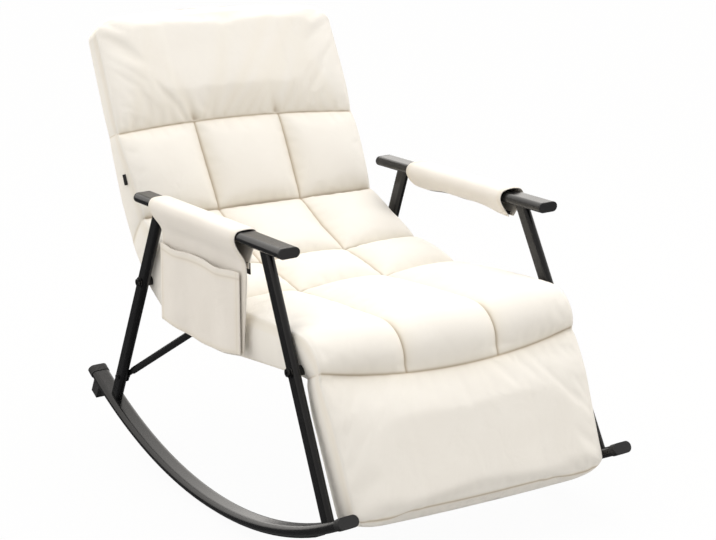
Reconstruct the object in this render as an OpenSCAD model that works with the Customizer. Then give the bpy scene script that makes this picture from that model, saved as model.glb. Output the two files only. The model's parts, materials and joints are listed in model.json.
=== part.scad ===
// Rocking lounge chair: two steel side frames on curved runners, a seat frame bolted between them,
// a back that reclines and a footrest that lifts, each on a pair of ratchet hinges.
// Millimetres, +Z up, the chair faces -Y. The origin is on the floor,
// below the middle of the chair's whole length and width.

/* [Side frames] */
// Distance of each armrest centre line outside the cushion's side
arm_out = 14; // [13:0.5:28]
// Distance of each runner centre line outside the cushion's side
runner_out = 33.5; // [30:0.5:48]
// Height of the armrest centre line at its front end
arm_front_h = 584; // [570:1:620]
// Height of the armrest centre line at its rear end
arm_rear_h = 567; // [555:1:600]
// Reach of the armrests in front of the origin
arm_front_reach = 292; // [270:1:320]
// Reach of the armrests behind the origin
arm_rear_reach = 278; // [260:1:290]
// Width of the armrest tube
arm_w = 45; // [40:1:50]
// Thickness of the armrest tube
arm_t = 20; // [16:1:24]
// Depth of the leg tube, fore and aft
leg_w = 32; // [24:1:34]
// Thickness of the leg tube
leg_t = 16; // [12:1:18]
// Wall of all steel tubes
tube_wall = 1.5; // [1:0.1:2]
// Reach of the front leg in front of the origin, at the armrest
front_leg_top = 205; // [200:1:220]
// Reach of the front leg in front of the origin, at the runner
front_leg_foot = 451; // [430:1:460]
// Reach of the rear leg behind the origin, at the armrest
rear_leg_top = 199; // [195:1:215]
// Reach of the rear leg behind the origin, at the runner
rear_leg_foot = 402; // [380:1:410]

/* [Runners] */
// Radius of the runner centre line
runner_r = 1024; // [980:1:1080]
// Width of the runner tube
runner_w = 40; // [34:1:44]
// Thickness of the runner tube
runner_t = 20; // [16:1:24]
// Angle of the runner in front of its lowest point
runner_front_angle = 30.1; // [29:0.1:33]
// Angle of the runner behind its lowest point
runner_rear_angle = 28.6; // [27:0.1:30]
// Thickness of the floor strip under the runner
strip_t = 3; // [2:0.5:5]
// Width of the floor strip
strip_w = 20; // [14:1:26]
// Angle of the floor strip each way from the lowest point
strip_angle = 24; // [20:0.1:26]
// Length of the caps on the ends of the runner
cap_len = 16; // [12:1:24]
// Wall of the caps
cap_wall = 1.5; // [1:0.5:3]
// Height of the stop block under the rear end of the runner
stop_h = 34; // [24:1:40]
// Length of the stop block along the runner
stop_len = 24; // [16:1:30]
// Width of the stop block
stop_w = 30; // [20:1:36]

/* [Seat frame] */
// Height of the bolts in the front legs
front_bolt_h = 370; // [360:1:380]
// Height of the bolts in the rear legs
rear_bolt_h = 388; // [380:1:396]
// Distance of each seat rail centre line inside the cushion's side
rail_in = 25; // [21:0.5:30]
// Width of the seat rail
rail_w = 20; // [16:1:22]
// Depth of the seat rail, up and down
rail_h = 30; // [24:1:32]
// Diameter of the seat crossbars
crossbar_d = 22; // [16:1:26]
// Diameter of the back and footrest frame tubes
frame_d = 20; // [16:1:22]
// Diameter of the frame bolts
bolt_d = 8; // [6:1:9]
// Diameter of the spacers between the rails and the legs
spacer_d = 20; // [16:1:24]
// Depth of the brace tubes
brace_w = 15; // [12:1:17]
// Thickness of the brace tubes
brace_t = 11; // [9:1:12]
// Height of the brace bolt in the rear leg
brace_foot_h = 153; // [140:1:165]

/* [Hinges] */
// Thickness of the hinge plates
plate_t = 4; // [3:0.5:4.5]
// Radius of the round end of a hinge plate
plate_r = 18; // [16:1:20]
// Radius of the hinge pins
pin_r = 5; // [4:0.5:6]
// Distance of the back hinge behind the rear bolts
back_hinge_back = 53; // [48:1:58]
// Rise of the back hinge above the rear bolts
back_hinge_rise = 67; // [62:1:72]
// Lean of the back from upright
back_angle = 24.8; // [22:0.1:28]
// Lean of the footrest from upright
foot_angle = 26; // [24:0.1:28]

/* [Upholstery] */
// Width of the cushions
cushion_w = 562; // [560:1:566]
// Length of the back from its hinge to its top
back_len = 470; // [450:1:500]
// Length of the footrest from its hinge to its lower edge
foot_len = 303; // [285:1:315]
// Height of the pillows above their seams
crown = 20; // [10:1:26]
// Thickness of the fabric covers
cover_t = 3.2; // [2.5:0.1:3.4]
// Radius of the soft roll at the back hinge
back_roll_r = 40; // [36:1:42]
// Radius of the seat's front roll at its seam with the footrest
nose_front_r = 67; // [62:1:68]
// Radius of the seat's front roll at its top
nose_top_r = 60; // [56:1:64]

/* [Armrest covers] */
// Length of the padded covers on the armrests
arm_cover_len = 330; // [290:1:334]
// Reach of the right armrest's cover behind the origin
right_cover_reach = 192; // [185:1:225]
// Reach of the left armrest's cover behind the origin
left_cover_reach = 151; // [147:1:158]
// Thickness of the padded cover
arm_cover_t = 3.5; // [2.5:0.5:4]
// Reach of the flap with the pocket past the front end of the right cover
flap_front_past = 4; // [2:1:10]
// Reach of the right cover past the rear edge of the flap
flap_rear_short = 11; // [11:1:60]
// Depth of the left cover's soft underside below the armrest centre line
left_cover_sag = 27; // [22:1:34]
// Height of the lower front corner of the flap above the floor
flap_low_h = 343; // [330:1:380]
// Depth of the pocket from its mouth to its lower edge
pocket_deep = 166; // [120:2:170]
// Thickness of the space in the pocket
pocket_gap = 9; // [7:1:12]

/* [Hidden] */
// Middle of the chair's whole length, measured back from where the runners rest
length_middle = 14.4;
$fn = 64;
arc_fn = 360;

steel = "#26262a";
zinc = "#8d8f94";
rubber = "#1b1b1d";
cream = "#efe9dc";
lining = "#3a3a3c";

// Clearances: fit is left at every weld and seat, ease where fabric goes round steel
fit = 0.2;
ease = 0.5;
pin_play = 0.05;
// Overrun of every cut past the face that it opens
over = 1;

// Frames beside the cushion, and the flap on the right armrest's cover
arm_spacing = cushion_w + 2 * arm_out;
runner_spacing = cushion_w + 2 * runner_out;
rail_spacing = cushion_w - 2 * rail_in;
flap_front_reach = arm_cover_len - right_cover_reach + flap_front_past;
flap_rear_reach = right_cover_reach - flap_rear_short;

// Runner arc: centre of the circle above the floor and heights on it
runner_centre = strip_t + runner_t / 2 + runner_r;
function runner_z(y) = runner_centre - sqrt(runner_r * runner_r - y * y);
arm_len = arm_front_reach + arm_rear_reach;
arm_pitch = atan2(arm_front_h - arm_rear_h, arm_len);
arm_run = arm_len / cos(arm_pitch);
function arm_z(y) = arm_rear_h + (arm_rear_reach - y) * tan(arm_pitch);

// Legs run from the armrest centre line to the runner centre line
function leg_top(side, end) = end < 0
    ? [side * arm_spacing / 2, -front_leg_top, arm_z(-front_leg_top)]
    : [side * arm_spacing / 2, rear_leg_top, arm_z(rear_leg_top)];
function leg_foot(side, end) = end < 0
    ? [side * runner_spacing / 2, -front_leg_foot, runner_z(front_leg_foot)]
    : [side * runner_spacing / 2, rear_leg_foot, runner_z(rear_leg_foot)];
function leg_at(side, end, h) =
    let (a = leg_foot(side, end), b = leg_top(side, end))
    a + (b - a) * (h - a.z) / (b.z - a.z);

// Seat frame line, from the front bolts to the rear bolts
front_bolt = leg_at(1, -1, front_bolt_h);
rear_bolt = leg_at(1, 1, rear_bolt_h);
rail_pitch = atan2(rear_bolt_h - front_bolt_h, rear_bolt.y - front_bolt.y);
rail_run = norm([rear_bolt.y - front_bolt.y, rear_bolt_h - front_bolt_h]);
rail_front_over = 16;
rail_rear_over = 28;
rail_x = rail_spacing / 2;
rail_outer = rail_x + rail_w / 2;
plate_gap = 0.3;
arm_plate_x = rail_outer + plate_t + plate_gap;
hinge_outer = arm_plate_x + plate_t + ease;
frame_x = arm_plate_x - frame_d / 2 - fit;
function on_rail(share) = front_bolt + (rear_bolt - front_bolt) * share;

// Hinge axes, as points in the side plane
back_hinge = [0, rear_bolt.y + back_hinge_back, rear_bolt_h + back_hinge_rise];
foot_hinge = [0, front_bolt.y, front_bolt_h];

// Full lift of the footrest, for the slots that its arms swing in
foot_lift = 65;

// Crossbar places as shares of the rail between its bolts
crossbar_shares = [0.12, 0.52, 0.97];
brace_rail_share = 0.545;

// Bolts and washers
washer_t = 2;
washer_r = bolt_d * 1.35;
head_r = bolt_d * 0.95;
head_t = bolt_d * 0.55;
nut_r = bolt_d * 0.9;
nut_t = bolt_d * 0.7;
bolt_hole_r = bolt_d / 2 + fit;
tail = bolt_d * 0.25;

// Straps
strap_t = 2;
strap_w = 50;
strap_count = 6;
back_strap_count = 5;
foot_strap_count = 3;

module flat_oval(w, h) {
    square([max(w - h, fit), h], center = true);
    for (s = [-1, 1]) translate([s * (w - h) / 2, 0]) circle(d = h);
}

module flat_oval_up(w, h) rotate(90) flat_oval(w, h);

// A run from p to q, with local Z along it and local X kept across the chair
module along(p, q) {
    d = q - p;
    translate(p)
        rotate([atan2(-d.y, d.z), 0, 0])
            rotate([0, asin(d.x / norm(d)), 0])
                children();
}

module across(x0, x1) translate([x0, 0, 0]) rotate([90, 0, 90]) linear_extrude(x1 - x0) children();

module disc_x(x0, x1, r) translate([x0, 0, 0]) rotate([0, 90, 0]) cylinder(h = x1 - x0, r = r);

// Arc in a side plane: local angle 0 is straight down, positive to the rear
module runner_arc(side, from, to, r) {
    translate([side * runner_spacing / 2, 0, runner_centre])
        rotate([0, 90, 0])
            rotate([0, 0, from])
                rotate_extrude(angle = to - from, $fn = arc_fn)
                    translate([r, 0]) children();
}

module runner_envelope(side, grow) {
    runner_arc(side, -runner_front_angle, runner_rear_angle, runner_r)
        flat_oval_up(runner_w + 2 * grow, runner_t + 2 * grow);
}

module runner(side) {
    color(steel) difference() {
        runner_envelope(side, 0);
        runner_arc(side, -runner_front_angle - arc_angle(over), runner_rear_angle + arc_angle(over),
            runner_r)
            flat_oval_up(runner_w - 2 * tube_wall, runner_t - 2 * tube_wall);
    }
}

module floor_strip(side) {
    color(rubber)
        runner_arc(side, -strip_angle, strip_angle, runner_r + runner_t / 2 + (strip_t + fit) / 2)
            square([strip_t - fit, strip_w], center = true);
}

function arc_angle(len) = len / runner_r * 180 / PI;

// A cap over each end: end -1 is the front, 1 the rear
module runner_cap(side, end) {
    tip = end < 0 ? runner_front_angle : runner_rear_angle;
    color(rubber) difference() {
        end_arc(side, end, tip - arc_angle(cap_len), tip + arc_angle(cap_wall))
            flat_oval_up(runner_w + 2 * cap_wall, runner_t + 2 * cap_wall);
        end_arc(side, end, tip - arc_angle(cap_len + over), tip + arc_angle(fit))
            flat_oval_up(runner_w + 2 * fit, runner_t + 2 * fit);
    }
}

module end_arc(side, end, from, to)
    runner_arc(side, end < 0 ? -to : from, end < 0 ? -from : to, runner_r) children();

module stop_block(side) {
    half = arc_angle(stop_len) / 2;
    middle = runner_rear_angle - arc_angle(cap_len) - 1.3 * half;
    shank_r = stop_h / 8;
    color(rubber) difference() {
        runner_arc(side, middle - half, middle + half, runner_r + runner_t / 2 + fit + stop_h / 2)
            square([stop_h, stop_w], center = true);
        translate([side * runner_spacing / 2, 0, runner_centre]) rotate([middle, 0, 0])
            translate([0, 0, -runner_r - runner_t / 2 - stop_h - over])
                cylinder(h = stop_h / 3 + over, r = shank_r);
    }
}

module arm_frame(side) {
    x = side * arm_spacing / 2;
    along([x, arm_rear_reach, arm_rear_h], [x, -arm_front_reach, arm_front_h]) children();
}

module arm_envelope(side, grow)
    arm_frame(side) linear_extrude(arm_run) flat_oval(arm_w + 2 * grow, arm_t + 2 * grow);

module leg(side, end) {
    a = leg_foot(side, end);
    b = leg_top(side, end);
    color(steel) difference() {
        along(a, b) linear_extrude(norm(b - a)) flat_oval_up(leg_w, leg_t);
        along(a, b) translate([0, 0, -over]) linear_extrude(norm(b - a) + 2 * over)
            flat_oval_up(leg_w - 2 * tube_wall, leg_t - 2 * tube_wall);
        arm_envelope(side, fit);
        runner_envelope(side, fit);
        leg_bolt_cut(side, end);
        if (end > 0) brace_foot_cut(side);
    }
}

module leg_envelope(side, end, grow) {
    a = leg_foot(side, end);
    b = leg_top(side, end);
    along(a, b) linear_extrude(norm(b - a)) flat_oval_up(leg_w + 2 * grow, leg_t + 2 * grow);
}

// Armrest tube with a plug cap in each end
cap_t = 3;

module armrest_tube(side) {
    color(steel) arm_frame(side) translate([0, 0, cap_t + fit]) difference() {
        linear_extrude(arm_run - 2 * cap_t - 2 * fit) flat_oval(arm_w, arm_t);
        translate([0, 0, -over]) linear_extrude(arm_run + 2 * over)
            flat_oval(arm_w - 2 * tube_wall, arm_t - 2 * tube_wall);
    }
}

module armrest_end_caps() {
    color(rubber) for (side = [-1, 1]) for (front = [0, 1]) arm_frame(side)
        translate([0, 0, front * arm_run]) mirror([0, 0, front]) {
            linear_extrude(cap_t) flat_oval(arm_w, arm_t);
            linear_extrude(arm_t) flat_oval(arm_w - 2 * tube_wall - 2 * fit, arm_t - 2 * tube_wall - 2 * fit);
        }
}

// Padded armrest covers: a sleeve round the tube, closed underneath by a hook strip
function cover_start(side) =
    (arm_rear_reach - (side < 0 ? right_cover_reach : left_cover_reach)) / cos(arm_pitch);
hook_w = arm_w * 0.5;
hook_t = 2;
hook_drop = 60;
hook_tab_w = 12;
hook_tab_h = 22;

module in_cover(side) arm_frame(side) translate([0, 0, cover_start(side)]) children();

module cover_sleeve(side) {
    in_cover(side) difference() {
        linear_extrude(arm_cover_len) flat_oval(arm_w + 2 * arm_cover_t, arm_t + 2 * arm_cover_t);
        translate([0, 0, -over]) linear_extrude(arm_cover_len + 2 * over)
            flat_oval(arm_w + 2 * fit, arm_t + 2 * fit);
        translate([0, -arm_t / 2 - arm_cover_t, arm_cover_len / 2])
            cube([hook_w + 2 * fit, 2 * arm_cover_t, arm_cover_len + 2 * over], center = true);
    }
}

// The strip under the tube stops short of the leg that the cover reaches past
strip_start = right_cover_reach - flap_rear_reach;

// Right: a strip under the tube and a tab between the folds. Left: a strip between the cover's lips
module cover_fastener(side) {
    color(rubber) in_cover(side) {
        if (side < 0) {
            translate([-hook_w / 2, -arm_t / 2 - fit - hook_t, strip_start])
                cube([hook_w, hook_t, arm_cover_len - strip_start]);
            translate([fit, -hook_drop - hook_tab_h / 2, arm_cover_len - hook_tab_w * 0.2])
                cube([hook_t, hook_tab_h, hook_tab_w]);
        } else
            translate([-hook_t / 2, -left_cover_sag - 3 * flap_t, 0])
                cube([hook_t, 3 * flap_t, arm_cover_len]);
    }
}

// Flap and pocket: two folds meet under the right armrest and the outer one hangs on as the pocket
flap_t = 3;
flap_inset = 3;
cover_bite = 0.6;
flap_x = arm_spacing / 2 + flap_inset;
fold_out = arm_w / 2 + arm_cover_t;
fold_drop = hook_drop * 0.85;
flap_slant = 13;
pocket_t = 3;
pocket_rim = 6;

// One fold of the cover: down beside the tube from inside the sleeve's wall, then in and down again
module cover_fold(side, near, low, fold_drop) {
    out = fold_out - cover_bite;
    drape = arm_t * 0.45;
    scale([side, 1]) polygon([
        [out, cover_bite],
        [out - flap_t + 2 * cover_bite, cover_bite],
        [out - flap_t - 2 * cover_bite, -drape],
        [near, -fold_drop],
        [near, -fold_drop - low],
        [near + flap_t - cover_bite, -fold_drop - low],
        [near + flap_t - cover_bite, -fold_drop],
        [out, -drape]
    ]);
}

module cover_folds() {
    in_cover(-1) translate([0, 0, strip_start]) linear_extrude(arm_cover_len - strip_start) {
        cover_fold(-1, flap_inset + cover_bite / 2, flap_t * 3, fold_drop);
        cover_fold(1, flap_t, flap_t, fold_drop);
    }
}

module cover_lips() {
    in_cover(1) linear_extrude(arm_cover_len)
        for (s = [-1, 1]) cover_fold(s, hook_t / 2, flap_t, left_cover_sag);
}

module flap_outline() {
    polygon([
        [-flap_front_reach, flap_low_h],
        [flap_rear_reach, flap_low_h - flap_slant],
        [flap_rear_reach, arm_z(flap_rear_reach) - fold_drop - flap_t],
        [-flap_front_reach, arm_z(-flap_front_reach) - fold_drop - flap_t]
    ]);
}

module pocket_outline(rim, mouth) {
    polygon([
        [-flap_front_reach + rim, flap_low_h + rim],
        [flap_rear_reach - rim, flap_low_h - flap_slant + rim],
        [flap_rear_reach - rim, flap_low_h + pocket_deep - flap_slant * 0.6 + mouth],
        [-flap_front_reach + rim, flap_low_h + pocket_deep + mouth]
    ]);
}

module armrest_cover(side) {
    color(cream) {
        cover_sleeve(side);
        if (side < 0) {
            cover_folds();
            across(-flap_x - flap_t, -flap_x) flap_outline();
        } else
            cover_lips();
    }
}

module pocket_panel() {
    inner = -flap_x - flap_t - fit;
    color(cream) difference() {
        across(inner - pocket_gap - pocket_t, inner) pocket_outline(0, 0);
        across(inner - pocket_gap, inner + over) pocket_outline(pocket_rim, pocket_rim + over);
    }
}

// Seat frame
module in_seat() translate([0, front_bolt.y, front_bolt_h]) rotate([rail_pitch, 0, 0]) children();

module rail_section() square([rail_w, rail_h], center = true);

rivet_r = 3;
rivet_shares = [0.07, 0.93];

module rivet_cuts(side, r)
    for (share = rivet_shares) translate([0, on_rail(share).y, on_rail(share).z])
        mirror([side < 0 ? 1 : 0, 0, 0]) disc_x(rail_x, rail_outer + plate_t + over, r);

module seat_rail(side) {
    len = rail_front_over + rail_run + rail_rear_over;
    color(steel) difference() {
        in_seat() translate([side * rail_x, -rail_front_over, 0]) rotate([-90, 0, 0]) difference() {
            linear_extrude(len) square([rail_w, rail_h], center = true);
            translate([0, 0, -over]) linear_extrude(len + 2 * over)
                square([rail_w - 2 * tube_wall, rail_h - 2 * tube_wall], center = true);
        }
        for (end = [-1, 1]) leg_bolt_cut(side, end);
        brace_rail_cut(side);
        rivet_cuts(side, rivet_r + fit);
    }
}

module seat_crossbar(share) {
    p = on_rail(share);
    half = rail_x - rail_w / 2;
    color(steel) translate([0, p.y, p.z]) difference() {
        disc_x(-half, half, crossbar_d / 2);
        disc_x(-half - over, half + over, crossbar_d / 2 - tube_wall);
    }
}

module strap(len, w, t) translate([0, 0, t / 2]) cube([len, w, t], center = true);

web_low = rail_h / 2 + fit;

module seat_webbing() {
    pitch = rail_run / strap_count;
    color(lining) in_seat() for (k = [0 : strap_count - 1])
        translate([0, (k + 0.5) * pitch, web_low]) strap(2 * rail_outer, strap_w, strap_t);
}

// Bolts through each leg, spacer and rail
function bolt_point(side, end) =
    let (h = end < 0 ? front_bolt_h : rear_bolt_h) leg_at(side, end, h);

module at_bolt(side, end) {
    p = bolt_point(side, end);
    translate([0, p.y, p.z]) mirror([side < 0 ? 1 : 0, 0, 0]) children();
}

function leg_face(end, sign) = abs(bolt_point(1, end).x) + sign * leg_t / 2;
lean_play = 0.5;

module leg_bolt_cut(side, end)
    at_bolt(side, end) disc_x(rail_x - rail_w, leg_face(end, 1) + over * 4, bolt_hole_r);

module leg_bolts() {
    color(zinc) for (side = [-1, 1]) for (end = [-1, 1]) at_bolt(side, end) {
        seat = leg_face(end, 1) + lean_play + washer_t + fit;
        disc_x(rail_x - rail_w / 2 - nut_t - fit - tail, seat + head_t / 2, bolt_d / 2);
        difference() {
            disc_x(seat, seat + head_t, head_r);
            disc_x(seat + head_t / 2, seat + head_t + over, bolt_d * 0.35, $fn = 6);
        }
    }
}

module leg_washers() {
    color(zinc) for (side = [-1, 1]) for (end = [-1, 1]) at_bolt(side, end) difference() {
        disc_x(leg_face(end, 1) + lean_play, leg_face(end, 1) + lean_play + washer_t, washer_r);
        disc_x(leg_face(end, 1), leg_face(end, 1) + lean_play + washer_t + over, bolt_hole_r);
    }
}

module leg_nuts() {
    inner = rail_x - rail_w / 2 - fit;
    color(zinc) for (side = [-1, 1]) for (end = [-1, 1]) at_bolt(side, end) difference() {
        disc_x(inner - nut_t, inner, nut_r, $fn = 6);
        disc_x(inner - nut_t - over, inner + over, bolt_d / 2 + pin_play);
    }
}

module leg_spacers() {
    color(steel) for (side = [-1, 1]) for (end = [-1, 1]) difference() {
        at_bolt(side, end)
            disc_x((end < 0 ? arm_plate_x : rail_outer) + plate_t + fit, leg_face(end, 0), spacer_d / 2);
        at_bolt(side, end) disc_x(rail_outer, leg_face(end, 1), bolt_hole_r);
        leg_envelope(side, end, fit);
    }
}

// Braces: a flat-oval bar with flattened ends, from the foot of the rear leg to the seat rail
brace_plate_t = 3;
brace_plate_r = 13;
brace_low = leg_at(1, 1, brace_foot_h);
brace_high = on_rail(brace_rail_share);
brace_low_x = brace_low.x - leg_t / 2 - brace_plate_t / 2 - 2 * lean_play;
cushion_x = cushion_w / 2;
brace_high_x = cushion_x + ease + brace_t / 2;
brace_bolt_r = bolt_d * 0.375;

brace_flat = leg_w * 1.25;

module brace_end(side, p, q, x) {
    unit = (q - p) / norm(q - p);
    difference() {
        mirror([side < 0 ? 1 : 0, 0, 0]) across(x - brace_plate_t / 2, x + brace_plate_t / 2)
            link_plate([0, p.y, p.z], [0, p.y, p.z] + unit * brace_flat, brace_plate_r, brace_w * 0.4);
        translate([side * x, p.y, p.z]) disc_x(-brace_plate_t, brace_plate_t, brace_bolt_r + fit);
    }
}

module brace(side) {
    a = [brace_low_x, brace_low.y, brace_low.z];
    b = [brace_high_x, brace_high.y, brace_high.z];
    unit = (b - a) / norm(b - a);
    color(steel) {
        brace_end(side, a, b, brace_low_x);
        brace_end(side, b, a, brace_high_x);
        mirror([side < 0 ? 1 : 0, 0, 0]) along(a + unit * brace_flat, b - unit * brace_flat)
            linear_extrude(norm(b - a) - 2 * brace_flat) flat_oval_up(brace_w, brace_t);
    }
}

module brace_foot_cut(side)
    translate([side * brace_low.x, brace_low.y, brace_low.z]) disc_x(-leg_w, leg_w, brace_bolt_r + fit);

module brace_rail_cut(side)
    translate([side * rail_x, brace_high.y, brace_high.z])
        disc_x(side < 0 ? -rail_w : 0, side < 0 ? 0 : rail_w, brace_bolt_r + fit);

module brace_bolts() {
    half_leg = leg_t / 2 + lean_play;
    color(zinc) for (side = [-1, 1]) {
        translate([0, brace_low.y, brace_low.z]) mirror([side < 0 ? 1 : 0, 0, 0]) {
            disc_x(brace_low_x - brace_plate_t * 1.5, brace_low.x + half_leg + fit, brace_bolt_r);
            disc_x(brace_low.x + half_leg, brace_low.x + half_leg + head_t * 0.8, head_r * 0.75);
            disc_x(brace_low_x - brace_plate_t * 1.5 - head_t / 2, brace_low_x - brace_plate_t / 2 - fit,
                nut_r * 0.9);
        }
        seat = brace_high_x + brace_plate_t / 2 + fit;
        translate([0, brace_high.y, brace_high.z]) mirror([side < 0 ? 1 : 0, 0, 0]) {
            disc_x(rail_outer - tube_wall * 3, brace_high_x + brace_plate_t, brace_bolt_r);
            disc_x(seat, seat + head_t / 2, head_r * 0.8);
        }
    }
}

// Ratchet hinges: a toothed bracket on the rail, an arm on the moving frame and a pawl on the arm
tooth_count = 24;
tooth_share = 0.84;
// Width of a link's bar as a share of its round end
bar_share = 0.92;

module link_plate(a, b, ra, rb) {
    d = b - a;
    translate([a.y, a.z]) circle(r = ra);
    translate([b.y, b.z]) circle(r = rb);
    translate([a.y, a.z]) rotate(atan2(d.z, d.y)) translate([0, -rb * bar_share])
        square([norm(d), 2 * rb * bar_share]);
}

module ratchet_rim(p) {
    step = 360 / tooth_count;
    translate([p.y, p.z]) polygon([for (k = [0 : tooth_count - 1]) each [
        plate_r * [cos(k * step), sin(k * step)],
        plate_r * tooth_share * [cos((k + 0.9) * step), sin((k + 0.9) * step)]
    ]]);
}

bracket_r = rail_h * 0.44;

module hinge_bracket(side, hinge, bolt, share) {
    rivet = [0, on_rail(share).y, on_rail(share).z];
    color(zinc) difference() {
        mirror([side < 0 ? 1 : 0, 0, 0]) difference() {
            across(rail_outer + fit / 2, rail_outer + plate_t) {
                ratchet_rim(hinge);
                if (hinge.z > bolt.z) link_plate(hinge, [0, bolt.y, bolt.z], plate_r * 0.7, bracket_r);
                link_plate([0, bolt.y, bolt.z], rivet, bracket_r, bracket_r * 0.7);
            }
            if (hinge.z > bolt.z) translate([0, hinge.y, hinge.z])
                disc_x(rail_outer - over, rail_outer + plate_t + over, pin_r + pin_play);
            translate([0, bolt.y, bolt.z])
                disc_x(rail_outer - over, rail_outer + plate_t + over, bolt_hole_r);
        }
        rivet_cuts(side, rivet_r + fit);
    }
}

module bracket_rivets() {
    inner = rail_outer - tube_wall - fit;
    color(zinc) for (side = [-1, 1]) for (share = rivet_shares)
        translate([0, on_rail(share).y, on_rail(share).z]) mirror([side < 0 ? 1 : 0, 0, 0]) {
            disc_x(inner - tube_wall, rail_outer + plate_t * 1.4, rivet_r);
            disc_x(inner - tube_wall, inner, rivet_r * 1.6);
            disc_x(rail_outer + plate_t + fit / 2, rail_outer + plate_t * 1.4, rivet_r * 1.6);
        }
}

hinge_arm_len = 92;

// An arm in the frame of its moving part, reaching up (dir 1) or down (dir -1) from the hinge
module hinge_arm(side, dir, shaft_r) {
    color(zinc) mirror([side < 0 ? 1 : 0, 0, 0]) difference() {
        across(arm_plate_x, arm_plate_x + plate_t)
            link_plate([0, 0, 0], [0, 0, dir * hinge_arm_len], plate_r, bracket_r * 0.8);
        disc_x(arm_plate_x - over, arm_plate_x + plate_t + over, shaft_r + pin_play);
    }
}

pawl_len = 16;
pawl_w = 10;

module pawls(dir) {
    color(zinc) for (side = [-1, 1]) mirror([side < 0 ? 1 : 0, 0, 0])
        across(rail_outer + plate_gap, arm_plate_x - fit / 2)
            scale([1, dir]) polygon([
                [-pawl_w * 0.15, plate_r + plate_gap],
                [pawl_w * 0.35, plate_r + plate_gap * 2],
                [pawl_w / 2, plate_r + pawl_len],
                [-pawl_w / 2, plate_r + pawl_len]
            ]);
}

pin_head_t = 2.4;

module hinge_pins() {
    color(zinc) for (side = [-1, 1])
        translate([0, back_hinge.y, back_hinge.z]) mirror([side < 0 ? 1 : 0, 0, 0]) {
            disc_x(rail_outer - pin_head_t, arm_plate_x + plate_t + fit + pin_head_t, pin_r);
            disc_x(rail_outer - pin_head_t, rail_outer - fit / 2, pin_r * 1.5);
            disc_x(arm_plate_x + plate_t + fit, arm_plate_x + plate_t + fit + pin_head_t, pin_r * 1.5);
        }
}

// Frames of the moving parts: local Z runs up the part, local -Y is its padded side
module in_back() translate([0, back_hinge.y, back_hinge.z]) rotate([-back_angle, 0, 0]) children();
module in_foot() translate([0, foot_hinge.y, foot_hinge.z]) rotate([-foot_angle, 0, 0]) children();

bend_r = 46;
frame_start = plate_r + pawl_len + fit;

// A bent tube with two uprights and one end bar, in its own plane
module bent_frame(len) {
    color(steel) difference() {
        bent_run(len, frame_d, 0);
        bent_run(len, frame_d - 2 * tube_wall, over);
    }
}

module bent_run(len, d, extra) {
    for (s = [-1, 1]) {
        translate([s * frame_x, 0, frame_start - extra])
            cylinder(h = len - bend_r - frame_start + extra, d = d);
        translate([s * (frame_x - bend_r), 0, len - bend_r]) rotate([90, 0, 0])
            rotate(s < 0 ? 90 : 0) rotate_extrude(angle = 90, $fn = 96)
                translate([bend_r, 0]) circle(d = d, $fn = 48);
    }
    translate([0, 0, len]) disc_x(-frame_x + bend_r, frame_x - bend_r, d / 2);
}

back_frame_len = back_len - frame_d;
foot_frame_len = foot_len - frame_d * 1.5;

module cross_tube(z) {
    half = frame_x - frame_d / 2 - fit;
    color(steel) translate([0, 0, z]) difference() {
        disc_x(-half, half, frame_d * 0.4);
        disc_x(-half - over, half + over, frame_d * 0.4 - tube_wall);
    }
}

back_crossbar_z = hinge_arm_len * 0.8;
foot_crossbar_z = -hinge_arm_len;

module frame_straps(low, high, count) {
    pitch = (high - low) / count;
    color(lining) for (k = [0 : count - 1])
        translate([0, -frame_d / 2 - fit, low + (k + 0.5) * pitch])
            rotate([90, 0, 0]) strap(2 * frame_x + frame_d, pitch * 0.6, strap_t);
}

// Quilted cushion: each row is a list of [surface, underside] stations, with a crown share and a
// count of panels, and the last station of a row is the first of the next
panel_steps = 6;
draw_in = 4;
row_steps = 7;

function soft(share) = pow(max(sin(180 * share), 0), 0.55);
function straight_row(a, b, low) =
    [for (k = [0 : row_steps]) let (p = a + (b - a) * k / row_steps) [p, [p[0], low]]];
function row_joined(rows) =
    [for (r = [0 : len(rows) - 1]) for (k = [(r == 0 ? 0 : 1) : len(rows[r]) - 1]) rows[r][k]];
function row_shares(rows, values) =
    [for (r = [0 : len(rows) - 1]) let (last = len(rows[r]) - 1)
        for (k = [(r == 0 ? 0 : 1) : last]) [k / last, values[r]]];

module quilt(rows, crowns, counts, half) {
    path = row_joined(rows);
    rises = row_shares(rows, crowns);
    panels = row_shares(rows, counts);
    n = len(path) - 1;
    m = 3 * panel_steps;
    wide = m + 3;
    points = [for (i = [0 : n])
        let (
            t = path[min(i + 1, n)][0] - path[max(i - 1, 0)][0],
            normal = [-t[1], t[0]] / norm(t),
            reach = half - draw_in * sin(180 * i / n),
            low = path[i][1]
        ) each [
            for (j = [0 : m])
                let (
                    g = j / m,
                    lift = rises[i][1] * crown * soft(rises[i][0]) * soft((g * panels[i][1]) % 1),
                    edge = crown * 0.4 * pow(max(1 - 8 * min(g, 1 - g), 0), 2) * soft(i / n),
                    p = path[i][0] + normal * (lift - edge)
                ) [(2 * g - 1) * reach, p[0], p[1]],
            [reach, low[0], low[1]],
            [-reach, low[0], low[1]]
        ]];
    faces = [
        for (i = [0 : n - 1]) for (j = [0 : wide - 1])
            let (a = i * wide + j, b = i * wide + (j + 1) % wide, c = b + wide, d = a + wide)
                each [[a, c, b], [a, d, c]],
        for (j = [0 : wide - 3]) [wide - 1, j, j + 1],
        for (j = [0 : wide - 3]) [n * wide + wide - 1, n * wide + j + 1, n * wide + j]
    ];
    polyhedron(points, faces, convexity = 8);
}

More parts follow.
